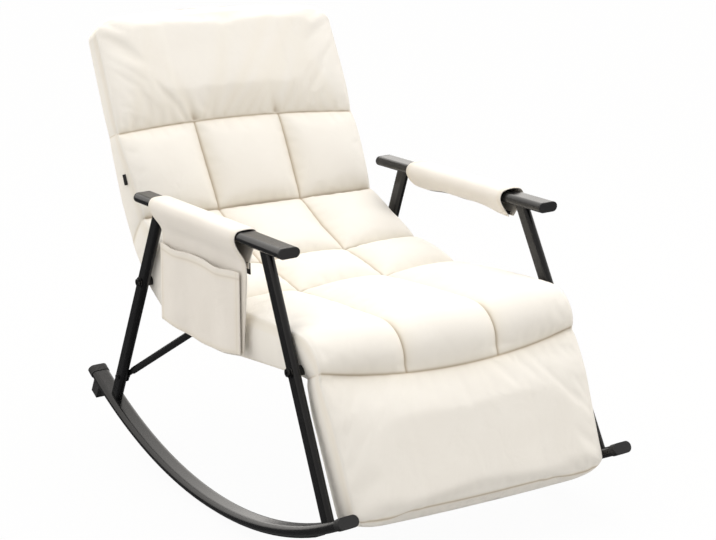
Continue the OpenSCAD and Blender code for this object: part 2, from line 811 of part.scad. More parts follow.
// Seat surface: the front roll about the footrest hinge, then seams measured along and above the rails
seat_base = web_low + strap_t + fit;
nose_inner_r = 24;
nose_seam_angle = 183;
nose_low_angle = 238;
nose_steps = 7;
seat_crease_h = 109;
seat_crease_share = 1.055;
seat_seam_heights = [28.7, 46.1];
seat_seam_shares = [0.52, 0.772];

function nose_station(angle, r) = [r * [cos(angle), sin(angle)], nose_inner_r * [cos(angle), sin(angle)]];
seat_seams = [
    [0, nose_top_r],
    [rail_run * seat_seam_shares[0], seat_seam_heights[0]],
    [rail_run * seat_seam_shares[1], seat_seam_heights[1]],
    [rail_run * seat_crease_share, seat_crease_h]
];
nose_back_row = [for (k = [0 : 3])
    nose_station(nose_low_angle + (nose_seam_angle - nose_low_angle) * k / 3, nose_front_r)];
nose_row = [for (k = [0 : nose_steps]) nose_station(
    nose_seam_angle + (90 - nose_seam_angle) * k / nose_steps,
    nose_front_r + (nose_top_r - nose_front_r) * k / nose_steps)];
front_row = concat(nose_row, [for (k = [1 : row_steps])
    straight_row(seat_seams[0], seat_seams[1], seat_base)[k]]);

// Room left in the seat for the hinge brackets, the moving frames and their rolls
hinge_room_r = 47;

module hinge_room(hinge, r) {
    for (side = [-1, 1]) translate([0, hinge.y, hinge.z]) mirror([side < 0 ? 1 : 0, 0, 0])
        disc_x(roll_x, cushion_x + over, r);
}

roll_x = rail_x - rail_w / 2 - pin_head_t;
foot_room_r = 75.5;

module roll_room(hinge, r)
    translate([0, hinge.y, hinge.z]) disc_x(-cushion_x - over, cushion_x + over, r);

module bracket_room(hinge, bolt) {
    for (side = [-1, 1]) mirror([side < 0 ? 1 : 0, 0, 0])
        across(rail_outer - ease, arm_plate_x + plate_t)
            link_plate(hinge, [0, bolt.y, bolt.z], bracket_r, bracket_r + ease);
}

// Slots in the front roll for the arms and frame tubes of the footrest
module foot_arm_slots() {
    low = 270 - foot_angle;
    for (side = [-1, 1]) mirror([side < 0 ? 1 : 0, 0, 0])
        translate([0, foot_hinge.y, foot_hinge.z])
            across(frame_x - frame_d / 2 - ease, arm_plate_x + plate_t + ease)
                for (lift = [0, foot_lift / 3, foot_lift * 2 / 3, foot_lift])
                    rotate(low - lift) translate([0, -frame_d * 0.65])
                        square([foot_room_r * 1.1, frame_d * 1.3]);
}

module seat_cushion() {
    color(cream) difference() {
        in_seat() quilt([
            nose_back_row,
            front_row,
            straight_row(seat_seams[1], seat_seams[2], seat_base),
            straight_row(seat_seams[2], seat_seams[3], seat_base)
        ], [0, 0.5, 0.8, 0.85], [3, 3, 3, 3], cushion_x);
        roll_room(back_hinge, back_roll_r + ease);
        hinge_room(back_hinge, hinge_room_r);
        bracket_room(back_hinge, rear_bolt);
        foot_arm_slots();
    }
}

// Under cover: a shallow tray of lining cloth and fabric boxing round the seat frame
under_depths = [6, 30, 58, 66, 34];
under_shares = [0.04, 0.25, 0.55, 0.78, 1.0];

module under_outline(inset) {
    high = web_low + strap_t;
    rear = rail_run * under_shares[4];
    polygon([
        [rail_run * under_shares[0] + inset, high + (inset > 0 ? over : 0)],
        [rail_run * under_shares[0] + inset, -rail_h / 2 - under_depths[0] + inset],
        for (k = [1 : 3]) [rail_run * under_shares[k], -under_depths[k] - rail_h / 6 + inset],
        [rear + rail_rear_over * 0.5 - inset, -rail_h / 2 - ease - (inset > 0 ? 0 : cover_t)],
        [rear + rail_rear_over + cover_t + ease - inset, -rail_h / 3],
        [rear + rail_rear_over + cover_t + ease - inset, high + (inset > 0 ? over : 0)]
    ]);
}

module seat_under_cover() {
    color(cream) difference() {
        in_seat() difference() {
            across(-cushion_x, cushion_x) under_outline(0);
            across(-cushion_x + cover_t, cushion_x - cover_t) under_outline(cover_t);
            translate([-hinge_outer, -rail_front_over, -rail_h / 2 - ease])
                cube([2 * hinge_outer, rail_front_over + rail_run + rail_rear_over + ease / 2, 2 * rail_h]);
        }
        for (side = [-1, 1]) at_bolt(side, 1) disc_x(rail_outer, cushion_x + over, spacer_d / 2 + ease);
        for (side = [-1, 1]) translate([0, brace_high.y, brace_high.z]) mirror([side < 0 ? 1 : 0, 0, 0])
            disc_x(rail_outer, cushion_x + over, brace_bolt_r + ease);
        roll_room(back_hinge, back_roll_r + ease);
        hinge_room(back_hinge, hinge_room_r);
        bracket_room(back_hinge, rear_bolt);
    }
}

// Back surface: seams and top, measured up the back and out from its frame
pad_base = frame_d / 2 + strap_t + 2 * fit;
back_start = back_roll_r + cover_t * 2;
back_seam_share = 0.482;
back_seam_heights = [33.5, 22, 19];
back_seam = [back_len * back_seam_share, back_seam_heights[1]];
back_rows = [
    straight_row([back_start, back_seam_heights[0]], back_seam, pad_base),
    straight_row(back_seam, [back_len, back_seam_heights[2]], pad_base)
];

module roll(r) disc_x(-roll_x + ease, roll_x - ease, r);

module back_cushion() {
    color(cream) in_back() {
        rotate([90, 0, 0]) quilt(back_rows, [0.85, 0.85], [3, 1], cushion_x);
        difference() {
            union() {
                roll(back_roll_r);
                translate([-roll_x + ease, -back_seam_heights[0], 0])
                    cube([2 * (roll_x - ease), back_seam_heights[0] - pad_base, back_start + fit]);
            }
            roll_clear(back_start);
        }
    }
}

// Space behind a roll for the crossbar and the straps above it
module roll_clear(z) translate([-cushion_x, -pad_base, z * 0.6]) cube([cushion_w, z * 2, z * 2]);

back_rear_depths = [33, 25];

module rear_outline(low, high, depths, inset) {
    polygon([
        [-pad_base + fit - (inset > 0 ? over : 0), low + inset],
        [-pad_base + fit - (inset > 0 ? over : 0), high - inset],
        [depths[1] - inset, high - inset],
        [depths[0] - inset, low + inset]
    ]);
}

rear_inset = 2;
rear_x = cushion_x - rear_inset;

module rear_cover(low, high, depths) {
    difference() {
        across(-rear_x, rear_x) rear_outline(low, high, depths, 0);
        across(-rear_x + cover_t, rear_x - cover_t) rear_outline(low, high, depths, cover_t);
        children();
    }
}

module back_rear_cover() {
    color(cream) in_back() rear_cover(back_start + fit, back_len, back_rear_depths) {
        arm_slots(back_start);
    }
}

// Slots where the hinge arms and uprights enter a rear cover
module arm_slots(start) {
    deep = hinge_arm_len * 0.1 + over + cover_t;
    for (side = [-1, 1]) mirror([side < 0 ? 1 : 0, 0, 0])
        translate([frame_x - frame_d / 2 - ease, -bracket_r, start - over])
            cube([cushion_x - frame_x + frame_d / 2 + over, 2 * bracket_r, deep]);
}

tag_t = 0.8;
tag_w = 12;
tag_h = 24;

module side_tag() {
    color(rubber) in_back()
        translate([-cushion_x - tag_t + draw_in * 0.4, -pad_base - tag_w, back_len * 0.255])
            cube([tag_t, tag_w, tag_h]);
}

// Footrest surface, measured up from its lower edge; its upper end clears the seat's front roll
foot_seam_heights = [50, 66.8];
foot_start = 37;
foot_rows = [straight_row([-foot_len, foot_seam_heights[0]], [-foot_start, foot_seam_heights[1]], pad_base)];
foot_rear_depths = [14, 14];
foot_rear_start = 71;

module footrest_cushion() {
    color(cream) in_foot() difference() {
        rotate([90, 0, 0]) quilt(foot_rows, [0.6], [1], cushion_x);
        disc_x(-cushion_x - over, cushion_x + over, foot_room_r);
    }
}

module footrest_rear_cover() {
    color(cream) in_foot() mirror([0, 0, 1]) rear_cover(foot_rear_start, foot_len, foot_rear_depths) {
        arm_slots(foot_rear_start);
    }
}

module back_frame() in_back() bent_frame(back_frame_len);
module footrest_frame() in_foot() mirror([0, 0, 1]) bent_frame(foot_frame_len);
module back_bracket(side) hinge_bracket(side, back_hinge, rear_bolt, rivet_shares[1]);
module foot_bracket(side) hinge_bracket(side, foot_hinge, front_bolt, rivet_shares[0]);

module back_webbing()
    in_back() frame_straps(back_crossbar_z, back_frame_len - bend_r, back_strap_count);

module footrest_webbing()
    in_foot() mirror([0, 0, 1])
        frame_straps(-foot_crossbar_z, foot_frame_len - bend_r / 2, foot_strap_count);

module in_place() translate([0, -length_middle, 0]) children();

in_place() runner(-1);  // right_runner
in_place() runner(1);  // left_runner
in_place() floor_strip(-1);  // right_floor_strip
in_place() floor_strip(1);  // left_floor_strip
in_place() runner_cap(-1, -1);  // right_front_cap
in_place() runner_cap(1, -1);  // left_front_cap
in_place() runner_cap(-1, 1);  // right_rear_cap
in_place() runner_cap(1, 1);  // left_rear_cap
in_place() stop_block(-1);  // right_stop_block
in_place() stop_block(1);  // left_stop_block
in_place() leg(-1, -1);  // right_front_leg
in_place() leg(1, -1);  // left_front_leg
in_place() leg(-1, 1);  // right_rear_leg
in_place() leg(1, 1);  // left_rear_leg
in_place() armrest_tube(-1);  // right_armrest_tube
in_place() armrest_tube(1);  // left_armrest_tube
in_place() armrest_end_caps();
in_place() armrest_cover(-1);  // right_armrest_cover
in_place() armrest_cover(1);  // left_armrest_cover
in_place() pocket_panel();  // right_pocket_panel
in_place() cover_fastener(-1);  // right_cover_fastener
in_place() cover_fastener(1);  // left_cover_fastener
in_place() brace(-1);  // right_brace
in_place() brace(1);  // left_brace
in_place() brace_bolts();
in_place() seat_rail(-1);  // right_seat_rail
in_place() seat_rail(1);  // left_seat_rail
in_place() seat_crossbar(crossbar_shares[0]);  // seat_front_crossbar
in_place() seat_crossbar(crossbar_shares[1]);  // seat_middle_crossbar
in_place() seat_crossbar(crossbar_shares[2]);  // seat_rear_crossbar
in_place() seat_webbing();
in_place() leg_spacers();
in_place() leg_bolts();
in_place() leg_washers();
in_place() leg_nuts();
in_place() seat_cushion();
in_place() seat_under_cover();
in_place() back_bracket(-1);  // right_back_hinge_bracket
in_place() back_bracket(1);  // left_back_hinge_bracket
in_place() foot_bracket(-1);  // right_footrest_hinge_bracket
in_place() foot_bracket(1);  // left_footrest_hinge_bracket
in_place() bracket_rivets();
in_place() hinge_pins();
in_place() in_back() hinge_arm(-1, 1, pin_r);  // right_back_hinge_arm
in_place() in_back() hinge_arm(1, 1, pin_r);  // left_back_hinge_arm
in_place() in_back() pawls(1);  // back_hinge_pawls
in_place() back_frame();
in_place() in_back() cross_tube(back_crossbar_z);  // back_crossbar
in_place() back_webbing();
in_place() back_cushion();
in_place() back_rear_cover();
in_place() side_tag();
in_place() in_foot() hinge_arm(-1, -1, bolt_d / 2);  // right_footrest_hinge_arm
in_place() in_foot() hinge_arm(1, -1, bolt_d / 2);  // left_footrest_hinge_arm
in_place() in_foot() pawls(-1);  // footrest_hinge_pawls
in_place() footrest_frame();
in_place() in_foot() cross_tube(foot_crossbar_z);  // footrest_crossbar
in_place() footrest_webbing();
in_place() footrest_cushion();
in_place() footrest_rear_cover();
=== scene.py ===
import json
import math

import bmesh
import bpy
import numpy as np
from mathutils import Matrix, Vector, noise


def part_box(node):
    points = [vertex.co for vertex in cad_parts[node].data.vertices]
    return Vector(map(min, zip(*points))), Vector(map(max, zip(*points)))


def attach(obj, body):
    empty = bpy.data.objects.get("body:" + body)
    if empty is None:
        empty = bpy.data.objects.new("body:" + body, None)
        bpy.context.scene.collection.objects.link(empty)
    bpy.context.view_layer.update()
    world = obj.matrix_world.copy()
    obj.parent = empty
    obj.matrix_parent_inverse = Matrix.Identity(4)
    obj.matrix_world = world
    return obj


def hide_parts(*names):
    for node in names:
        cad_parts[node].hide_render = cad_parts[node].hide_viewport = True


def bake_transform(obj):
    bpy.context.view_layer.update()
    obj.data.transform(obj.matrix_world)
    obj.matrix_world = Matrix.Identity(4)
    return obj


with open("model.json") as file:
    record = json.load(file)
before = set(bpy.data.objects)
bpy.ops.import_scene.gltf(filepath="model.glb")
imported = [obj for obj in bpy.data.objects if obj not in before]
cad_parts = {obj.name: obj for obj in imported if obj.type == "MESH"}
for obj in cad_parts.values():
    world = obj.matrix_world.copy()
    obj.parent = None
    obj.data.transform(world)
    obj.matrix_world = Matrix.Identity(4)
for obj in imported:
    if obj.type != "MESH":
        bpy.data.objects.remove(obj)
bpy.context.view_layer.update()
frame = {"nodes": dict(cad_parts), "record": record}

# Rocking lounge chair. +X is the sitter's left, the chair faces -Y, +Z is up.
# The soft pieces are described in millimetres. Meshes, camera, lamps and floor are in metres.
mm = 0.001
restLine = -14.4     # y of the line on which the runners rest; the soft pieces are measured from it
tiny = 1e-6
scene = bpy.context.scene
nodes = frame["nodes"]
record = frame["record"]
print("frame loaded:", len(nodes), "nodes")

# Helpers for shader trees

def feed(tree, value, socket):     # numbers and colours are set, another node's output is linked
    if isinstance(value, (int, float)):
        socket.default_value = value
    elif isinstance(value, tuple):
        socket.default_value = (*value, 1.0)
    else:
        tree.links.new(value, socket)

def mathNode(tree, operation, a, b, clamp=False):
    node = tree.nodes.new("ShaderNodeMath")
    node.operation = operation
    node.use_clamp = clamp
    feed(tree, a, node.inputs[0])
    feed(tree, b, node.inputs[1])
    return node.outputs[0]

def mapRange(tree, value, old, new):
    node = tree.nodes.new("ShaderNodeMapRange")
    for label, limit in zip(("From Min", "From Max", "To Min", "To Max"), (*old, *new)):
        node.inputs[label].default_value = limit
    tree.links.new(value, node.inputs["Value"])
    return node.outputs["Result"]

def mixShaders(tree, share, a, b):
    node = tree.nodes.new("ShaderNodeMixShader")
    for slot, value in enumerate((share, a, b)):
        tree.links.new(value, node.inputs[slot])
    return node.outputs[0]

def mixColour(tree, share, a, b):
    node = tree.nodes.new("ShaderNodeMix")
    node.data_type = "RGBA"
    for slot, value in ((0, share), (6, a), (7, b)):     # 6 and 7 are the node's colour inputs
        feed(tree, value, node.inputs[slot])
    return node.outputs[2]

def noiseNode(tree, vector, scale, detail):
    node = tree.nodes.new("ShaderNodeTexNoise")
    node.inputs["Detail"].default_value = detail
    feed(tree, scale, node.inputs["Scale"])
    tree.links.new(vector, node.inputs["Vector"])
    return node

# Camera and lights

cameraSettings = {
    "place": (-1.9419, -3.0356, 1.5041),
    "yaw": 33.31,      # to the right of +Y
    "pitch": 16.62,    # downwards
    "lens": 93.52,
    "sensor": 36.0,
    "clipEnd": 50.0,
}

def makeCamera(s):
    data = bpy.data.cameras.new("studioCamera")
    data.lens = s["lens"]
    data.sensor_width = s["sensor"]
    data.sensor_fit = "HORIZONTAL"
    data.clip_end = s["clipEnd"]
    cam = bpy.data.objects.new("studioCamera", data)
    cam.location = s["place"]
    cam.rotation_euler = (math.radians(90 - s["pitch"]), 0.0, math.radians(-s["yaw"]))
    scene.collection.objects.link(cam)
    scene.camera = cam

makeCamera(cameraSettings)

lightSettings = {
    "worldFront": 0.34,       # the room on the photographer's side
    "worldBack": 2.15,        # the bright backdrop behind and above
    "worldColour": (1.0, 0.968, 0.925),
    "backdrop": (0.25, 0.75, 0.6),     # the direction in which the room is brightest
    "backdropStart": -0.6,    # how far round from it the room begins to brighten
    "lampColour": (0.985, 0.99, 1.04),
    "mirrored": ("keyLamp", "topLamp"),     # the lamps that the steel reflects
    "lamps": [
        # name, place, size, power, aims at
        ("keyLamp", (1.5, 0.0, 3.0), 2.0, 11.0, (0.0, -0.1, 0.4)),
        ("topLamp", (0.0, -0.3, 3.1), 2.2, 16.0, (0.0, -0.1, 0.3)),
        ("frontLamp", (0.7, -1.9, 2.3), 1.6, 5.0, (0.0, -0.35, 0.3)),
        ("sideLamp", (-2.7, -1.2, 1.7), 1.5, 5.0, (0.0, 0.0, 0.4)),
    ],
}

def makeLamps(s):
    for name, place, size, power, aim in s["lamps"]:
        data = bpy.data.lights.new(name, "AREA")
        data.shape = "SQUARE"
        data.size = size
        data.energy = power
        data.color = s["lampColour"]
        lamp = bpy.data.objects.new(name, data)
        lamp.location = place
        lamp.visible_glossy = name in s["mirrored"]
        lamp.rotation_euler = (Vector(aim) - Vector(place)).to_track_quat("-Z", "Y").to_euler()
        scene.collection.objects.link(lamp)

def makeWorld(s):
    world = bpy.data.worlds.new("studioWorld")
    scene.world = world
    world.use_nodes = True
    tree = world.node_tree
    tree.nodes.clear()
    out = tree.nodes.new("ShaderNodeOutputWorld")
    place = tree.nodes.new("ShaderNodeTexCoord")
    facing = tree.nodes.new("ShaderNodeVectorMath")
    facing.operation = "DOT_PRODUCT"
    facing.inputs[1].default_value = s["backdrop"]
    tree.links.new(place.outputs["Generated"], facing.inputs[0])
    level = mapRange(tree, facing.outputs["Value"], (s["backdropStart"], 1.0),
                     (s["worldFront"], s["worldBack"]))
    soft = tree.nodes.new("ShaderNodeBackground")
    soft.inputs["Color"].default_value = (*s["worldColour"], 1.0)
    tree.links.new(level, soft.inputs["Strength"])
    # the camera sees plain white behind the chair
    white = tree.nodes.new("ShaderNodeBackground")
    white.inputs["Color"].default_value = (1.0, 1.0, 1.0, 1.0)
    path = tree.nodes.new("ShaderNodeLightPath")
    seen = mathNode(tree, "MAXIMUM", path.outputs["Is Camera Ray"], path.outputs["Is Transmission Ray"])
    tree.links.new(mixShaders(tree, seen, soft.outputs[0], white.outputs[0]), out.inputs[0])

makeLamps(lightSettings)
makeWorld(lightSettings)
scene.view_settings.view_transform = "Standard"
print("camera and lamps placed")

# Shader groups and materials

def groupTree(name, numbers, outputs):
    tree = bpy.data.node_groups.new(name, "ShaderNodeTree")
    tree.interface.new_socket(name="Vector", in_out="INPUT", socket_type="NodeSocketVector")
    for label, value in numbers.items():
        number = tree.interface.new_socket(name=label, in_out="INPUT", socket_type="NodeSocketFloat")
        number.default_value = value
    for label in outputs:
        tree.interface.new_socket(name=label, in_out="OUTPUT", socket_type="NodeSocketFloat")
    return tree, tree.nodes.new("NodeGroupInput"), tree.nodes.new("NodeGroupOutput")

def makeWeaveGroup():
    tree, inp, out = groupTree("clothWeave", {"Thread": 260.0, "Slub": 0.5}, ("Height", "Tint"))
    waves = []
    for axis in ("X", "Y"):
        wave = tree.nodes.new("ShaderNodeTexWave")
        wave.wave_type = "BANDS"
        wave.bands_direction = axis
        wave.inputs["Distortion"].default_value = 1.2
        wave.inputs["Detail"].default_value = 1.0
        wave.inputs["Detail Scale"].default_value = 0.6
        tree.links.new(inp.outputs["Vector"], wave.inputs["Vector"])
        tree.links.new(inp.outputs["Thread"], wave.inputs["Scale"])
        waves.append(wave.outputs["Fac"])
    cloth = mathNode(tree, "MULTIPLY", mathNode(tree, "ADD", waves[0], waves[1]), 0.5)
    slub = noiseNode(tree, inp.outputs["Vector"], 420.0, 2.0)
    fuzz = mathNode(tree, "MULTIPLY", slub.outputs["Fac"], inp.outputs["Slub"])
    tree.links.new(mathNode(tree, "ADD", cloth, fuzz), out.inputs["Height"])
    broad = noiseNode(tree, inp.outputs["Vector"], 9.0, 3.0)
    patches = mathNode(tree, "MULTIPLY", broad.outputs["Fac"], 0.7)
    threads = mathNode(tree, "MULTIPLY", cloth, 0.3)
    tree.links.new(mathNode(tree, "ADD", patches, threads), out.inputs["Tint"])
    return tree

def makeGrainGroup():
    tree, inp, out = groupTree("surfaceGrain", {"Fine": 700.0, "Broad": 6.0}, ("Height", "Mask"))
    fine = noiseNode(tree, inp.outputs["Vector"], inp.outputs["Fine"], 2.0)
    broad = noiseNode(tree, inp.outputs["Vector"], inp.outputs["Broad"], 5.0)
    broad.inputs["Roughness"].default_value = 0.65
    tree.links.new(fine.outputs["Fac"], out.inputs["Height"])
    tree.links.new(broad.outputs["Fac"], out.inputs["Mask"])
    return tree

weaveGroup = makeWeaveGroup()
grainGroup = makeGrainGroup()

def groupNode(tree, group, vector):
    node = tree.nodes.new("ShaderNodeGroup")
    node.node_tree = group
    tree.links.new(vector, node.inputs["Vector"])
    return node

def spread(tree, value, low, high):     # the middle of a noise, stretched from low to high
    return mapRange(tree, value, (0.3, 0.7), (low, high))

def bareMaterial(name):
    mat = bpy.data.materials.new(name)
    mat.use_nodes = True
    tree = mat.node_tree
    return mat, tree, tree.nodes["Principled BSDF"]

def bumpInto(tree, shader, height, strength, distance, under=None):
    bump = tree.nodes.new("ShaderNodeBump")
    bump.inputs["Strength"].default_value = strength
    bump.inputs["Distance"].default_value = distance
    tree.links.new(height, bump.inputs["Height"])
    if under is not None:
        tree.links.new(under, bump.inputs["Normal"])
    tree.links.new(bump.outputs["Normal"], shader.inputs["Normal"])
    return bump.outputs["Normal"]

fabricLooks = {
    # name: light colour, shaded colour, seam colour (the seam's line, darkened with painted shade of its
    # crease), thread scale, roughness, sheen, weave depth
    "ivoryCloth": ((0.80, 0.776, 0.722), (0.765, 0.737, 0.68), (0.36, 0.27, 0.17),
                   300.0, 0.92, 0.25, 0.00035),
    "pocketCloth": ((0.735, 0.703, 0.652), (0.69, 0.655, 0.60), (0.42, 0.37, 0.30),
                    300.0, 0.94, 0.2, 0.00035),
}

def makeFabric(name, look):
    light, shade, seam, thread, rough, sheen, depth = look
    mat, tree, shader = bareMaterial(name)
    uv = tree.nodes.new("ShaderNodeUVMap")
    uv.uv_map = "flatCloth"
    weave = groupNode(tree, weaveGroup, uv.outputs["UV"])
    weave.inputs["Thread"].default_value = thread
    base = mixColour(tree, spread(tree, weave.outputs["Tint"], 0.0, 1.0), shade, light)
    # a narrow dark line on the seam, where the seam's joint is darkened with painted shade of its crease, and
    # a painted warm shade in the wider valley beside it; the same mask carries painted shade in folds and
    # tucks
    seamAndShadeMask = tree.nodes.new("ShaderNodeAttribute")
    seamAndShadeMask.attribute_name = "seam"
    near = mathNode(tree, "POWER", seamAndShadeMask.outputs["Fac"], 2.2, True)
    valleyShadeMask = mathNode(tree, "POWER", seamAndShadeMask.outputs["Fac"], 0.2, True)
    paintedValleyShade = (shade[0], shade[1] * 0.975, shade[2] * 0.91)
    base = mixColour(tree, mathNode(tree, "MULTIPLY", valleyShadeMask, 0.6), base, paintedValleyShade)
    colour = mixColour(tree, mathNode(tree, "MULTIPLY", near, 0.8), base, seam)
    tree.links.new(colour, shader.inputs["Base Color"])
    shader.inputs["Roughness"].default_value = rough
    shader.inputs["Specular IOR Level"].default_value = 0.25
    shader.inputs["Sheen Weight"].default_value = sheen
    shader.inputs["Sheen Roughness"].default_value = 0.45
    shader.inputs["Sheen Tint"].default_value = (1.0, 0.97, 0.92, 1.0)
    crumple = noiseNode(tree, uv.outputs["UV"], 16.0, 3.0)
    crumple.inputs["Distortion"].default_value = 0.6
    under = bumpInto(tree, shader, crumple.outputs["Fac"], 0.25, 0.006)
    bumpInto(tree, shader, weave.outputs["Height"], 0.5, depth, under)
    return mat

paintLooks = {
    # name: dark colour, light colour, roughness low and high, grain depth, metal
    "satinBlackSteel": ((0.004, 0.004, 0.0044), (0.007, 0.007, 0.0077), 0.20, 0.28, 0.00006, 0.0),
    "zincPlate": ((0.22, 0.225, 0.235), (0.36, 0.365, 0.375), 0.26, 0.44, 0.00005, 1.0),
    "blackRubber": ((0.010, 0.010, 0.011), (0.022, 0.022, 0.023), 0.55, 0.72, 0.00015, 0.0),
    "hookTape": ((0.008, 0.008, 0.009), (0.020, 0.020, 0.021), 0.75, 0.9, 0.0005, 0.0),
    "strapLining": ((0.035, 0.035, 0.038), (0.06, 0.06, 0.064), 0.8, 0.92, 0.0004, 0.0),
}

def makePaint(name, look):
    dark, light, low, high, depth, metal = look
    mat, tree, shader = bareMaterial(name)
    place = tree.nodes.new("ShaderNodeTexCoord")
    grain = groupNode(tree, grainGroup, place.outputs["Object"])
    colour = mixColour(tree, spread(tree, grain.outputs["Mask"], 0.0, 1.0), dark, light)
    tree.links.new(colour, shader.inputs["Base Color"])
    tree.links.new(spread(tree, grain.outputs["Mask"], low, high), shader.inputs["Roughness"])
    shader.inputs["Metallic"].default_value = metal
    shader.inputs["Specular IOR Level"].default_value = 0.4
    bumpInto(tree, shader, grain.outputs["Height"], 0.5, depth)
    return mat

materials = {name: makeFabric(name, look) for name, look in fabricLooks.items()}
materials.update({name: makePaint(name, look) for name, look in paintLooks.items()})

# The floor: the camera sees it almost white, and the steel reflects it dim

floorSettings = {
    "halfSize": 9.0,
    "below": 0.0008,          # just clear of the rubber strips
    "low": 0.56,              # its grey
    "high": 0.58,
    "toCamera": 0.95,         # how far it is plain white to the camera
    "toSteel": 0.12,          # what the steel reflects of the studio's far floor
}

def glowNode(tree, grey):
    node = tree.nodes.new("ShaderNodeEmission")
    node.inputs["Color"].default_value = (grey, grey, grey, 1.0)
    return node.outputs[0]

def makeFloorMaterial(s):
    mat, tree, shader = bareMaterial("paleFloor")
    place = tree.nodes.new("ShaderNodeTexCoord")
    grain = groupNode(tree, grainGroup, place.outputs["Object"])
    grey = mixColour(tree, grain.outputs["Mask"], (s["low"],) * 3, (s["high"],) * 3)
    tree.links.new(grey, shader.inputs["Base Color"])
    shader.inputs["Roughness"].default_value = 0.85
    path = tree.nodes.new("ShaderNodeLightPath")
    under = mixShaders(tree, path.outputs["Is Glossy Ray"], shader.outputs[0], glowNode(tree, s["toSteel"]))
    seen = mathNode(tree, "MULTIPLY", path.outputs["Is Camera Ray"], s["toCamera"])
    surface = mixShaders(tree, seen, under, glowNode(tree, 1.0))
    tree.links.new(surface, tree.nodes["Material Output"].inputs["Surface"])
    return mat

def finishMesh(name, bm):
    mesh = bpy.data.meshes.new(name)
    bmesh.ops.translate(bm, vec=(0.0, restLine * mm, 0.0), verts=bm.verts)
    bm.normal_update()
    bm.to_mesh(mesh)
    bm.free()
    mesh.shade_smooth()
    obj = bpy.data.objects.new(name, mesh)
    scene.collection.objects.link(obj)
    return obj

def makeFloor(s):
    bm = bmesh.new()
    bmesh.ops.create_grid(bm, x_segments=8, y_segments=8, size=s["halfSize"])
    bmesh.ops.translate(bm, vec=(0.0, 0.0, -s["below"]), verts=bm.verts)
    floor = finishMesh("studioFloor", bm)
    floor.data.materials.append(makeFloorMaterial(s))

makeFloor(floorSettings)
print("materials made:", len(materials))

# The padded pieces: stations down the middle of the chair, in the side plane

def turned(y, z, degrees):
    a = math.radians(degrees)
    return Vector((y * math.cos(a) - z * math.sin(a), y * math.sin(a) + z * math.cos(a)))

def seatPoint(along, up):      # from the front frame bolts along the seat rails
    return Vector((-317.14, 370.0)) + turned(along, up, 1.7363)

def backPoint(up, out):        # from the back hinge up the back, out towards the sitter
    return Vector((329.65, 455.0)) + turned(-out, up, -24.8)

def footPoint(down, out):      # from the front frame bolts down the footrest
    return Vector((-317.14, 370.0)) + turned(-out, -down, -26.0)

def nosePoint(angle, radius):
    return seatPoint(radius * math.cos(math.radians(angle)), radius * math.sin(math.radians(angle)))

def alongLine(points, t):      # the point at a share t of a line's length
    steps = [(b - a).length for a, b in zip(points, points[1:])]
    rest = max(0.0, min(1.0, t)) * sum(steps)
    for a, b, step in zip(points, points[1:], steps):
        if rest <= step or b is points[-1]:
            return a.lerp(b, min(1.0, rest / max(step, 1e-9)))
        rest -= step

def throughKnots(knots, t):    # the point at t on a line of (t, point) knots
    for (ta, a), (tb, b) in zip(knots, knots[1:]):
        if t <= tb:
            return a.lerp(b, (t - ta) / (tb - ta))
    return knots[-1][1]

def along(points, run):        # the point and the direction at a length along a line
    total = sum((b - a).length for a, b in zip(points, points[1:]))
    here = alongLine(points, run / total)
    heading = alongLine(points, (run + 4) / total) - alongLine(points, (run - 4) / total)
    return here, heading.normalized()

def straight(a, b, t):
    return a + (b - a) * t

def between(a, b, t):          # the same, held at both ends and eased
    t = max(0.0, min(1.0, t))
    return a + (b - a) * t * t * (3 - 2 * t)

def eased(t):                  # finer steps beside the seams
    share = 0.4
    return (1 - share) * t + share * (1 - math.cos(math.pi * t)) / 2

padSettings = {
    "half": 281.0,            # half the width of the pads
    "columnSeam": 103.0,      # the lengthwise seams, from the middle
    "cellsPerPanel": 26,
    "drawIn": 2.0,            # how far the sides pull in at a cross seam
    "edgeRound": 7.0,         # how far the soft corner reaches in from the side
    "edgeFull": 0.42,         # how full a pillow still is at the pad's side
    "gussetBulge": 4.0,
    "gussetStep": 9.0,        # a step round the side, in the cloth's flat pattern
    "endRadius": 21.0,
    "endSteps": 8,            # the steps in which a free end turns over
    "weltStep": 3,            # the one of them that carries the welt
    "seamDepth": 3.0,         # how deep and how wide the seams are drawn in
    "seamWidth": 6.0,
    "seamShadeWidth": 3.0,          # how wide their darker line is, the seam's line darkened with painted shade
    "gatherClear": 14.0,      # gathers fade out this near to a crossing seam
    "crease": 0.8,            # how sharp a seam stays when the mesh is refined
    "pressure": 4.0,
    "clothFrames": 14,
    "slack": -0.008,          # the cloth is cut this much larger than its panel
    "cap": 9.0,               # the most a point may rise in the simulation
    "skew": 8.0,              # the pads lie a little askew between the frames
}

seatRows = [
    {   # behind the middle of the seat, from the cross seam under the lumbar row forwards
        "front": [seatPoint(458.8, 46.1), seatPoint(309, 28.7)],
        "rear": [(0.0, seatPoint(458.8, -71)), (1.0, seatPoint(309, -63))],
        "cells": 22, "crown": 22.0, "panels": 3,
    },
    {   # the front row, over the front roll down to the crease
        "front": [seatPoint(309, 28.7), seatPoint(150, 45)]
        + [nosePoint(90 + 93 * k / 12, 60 + 7 * k / 12) for k in range(13)],
        "rear": [(0.0, seatPoint(309, -63)), (0.38, seatPoint(148, -38)), (0.72, seatPoint(34, -21)),
                 (1.0, footPoint(26, -5))],
        "cells": 50, "crown": 24.0, "panels": 3, "flare": (0.0, 13.0), "bow": (30.0, -8.0),
    },
    {   # the footrest, plain
        "front": [nosePoint(183, 67), footPoint(120, 60), footPoint(291, 50)],
        "rear": [(0.0, footPoint(26, -5)), (0.25, footPoint(90, -14)), (1.0, footPoint(289, -14))],
        "cells": 30, "crown": 15.0, "panels": 1, "open": True, "flare": (13.0, 6.0), "corner": 9.0,
    },
]

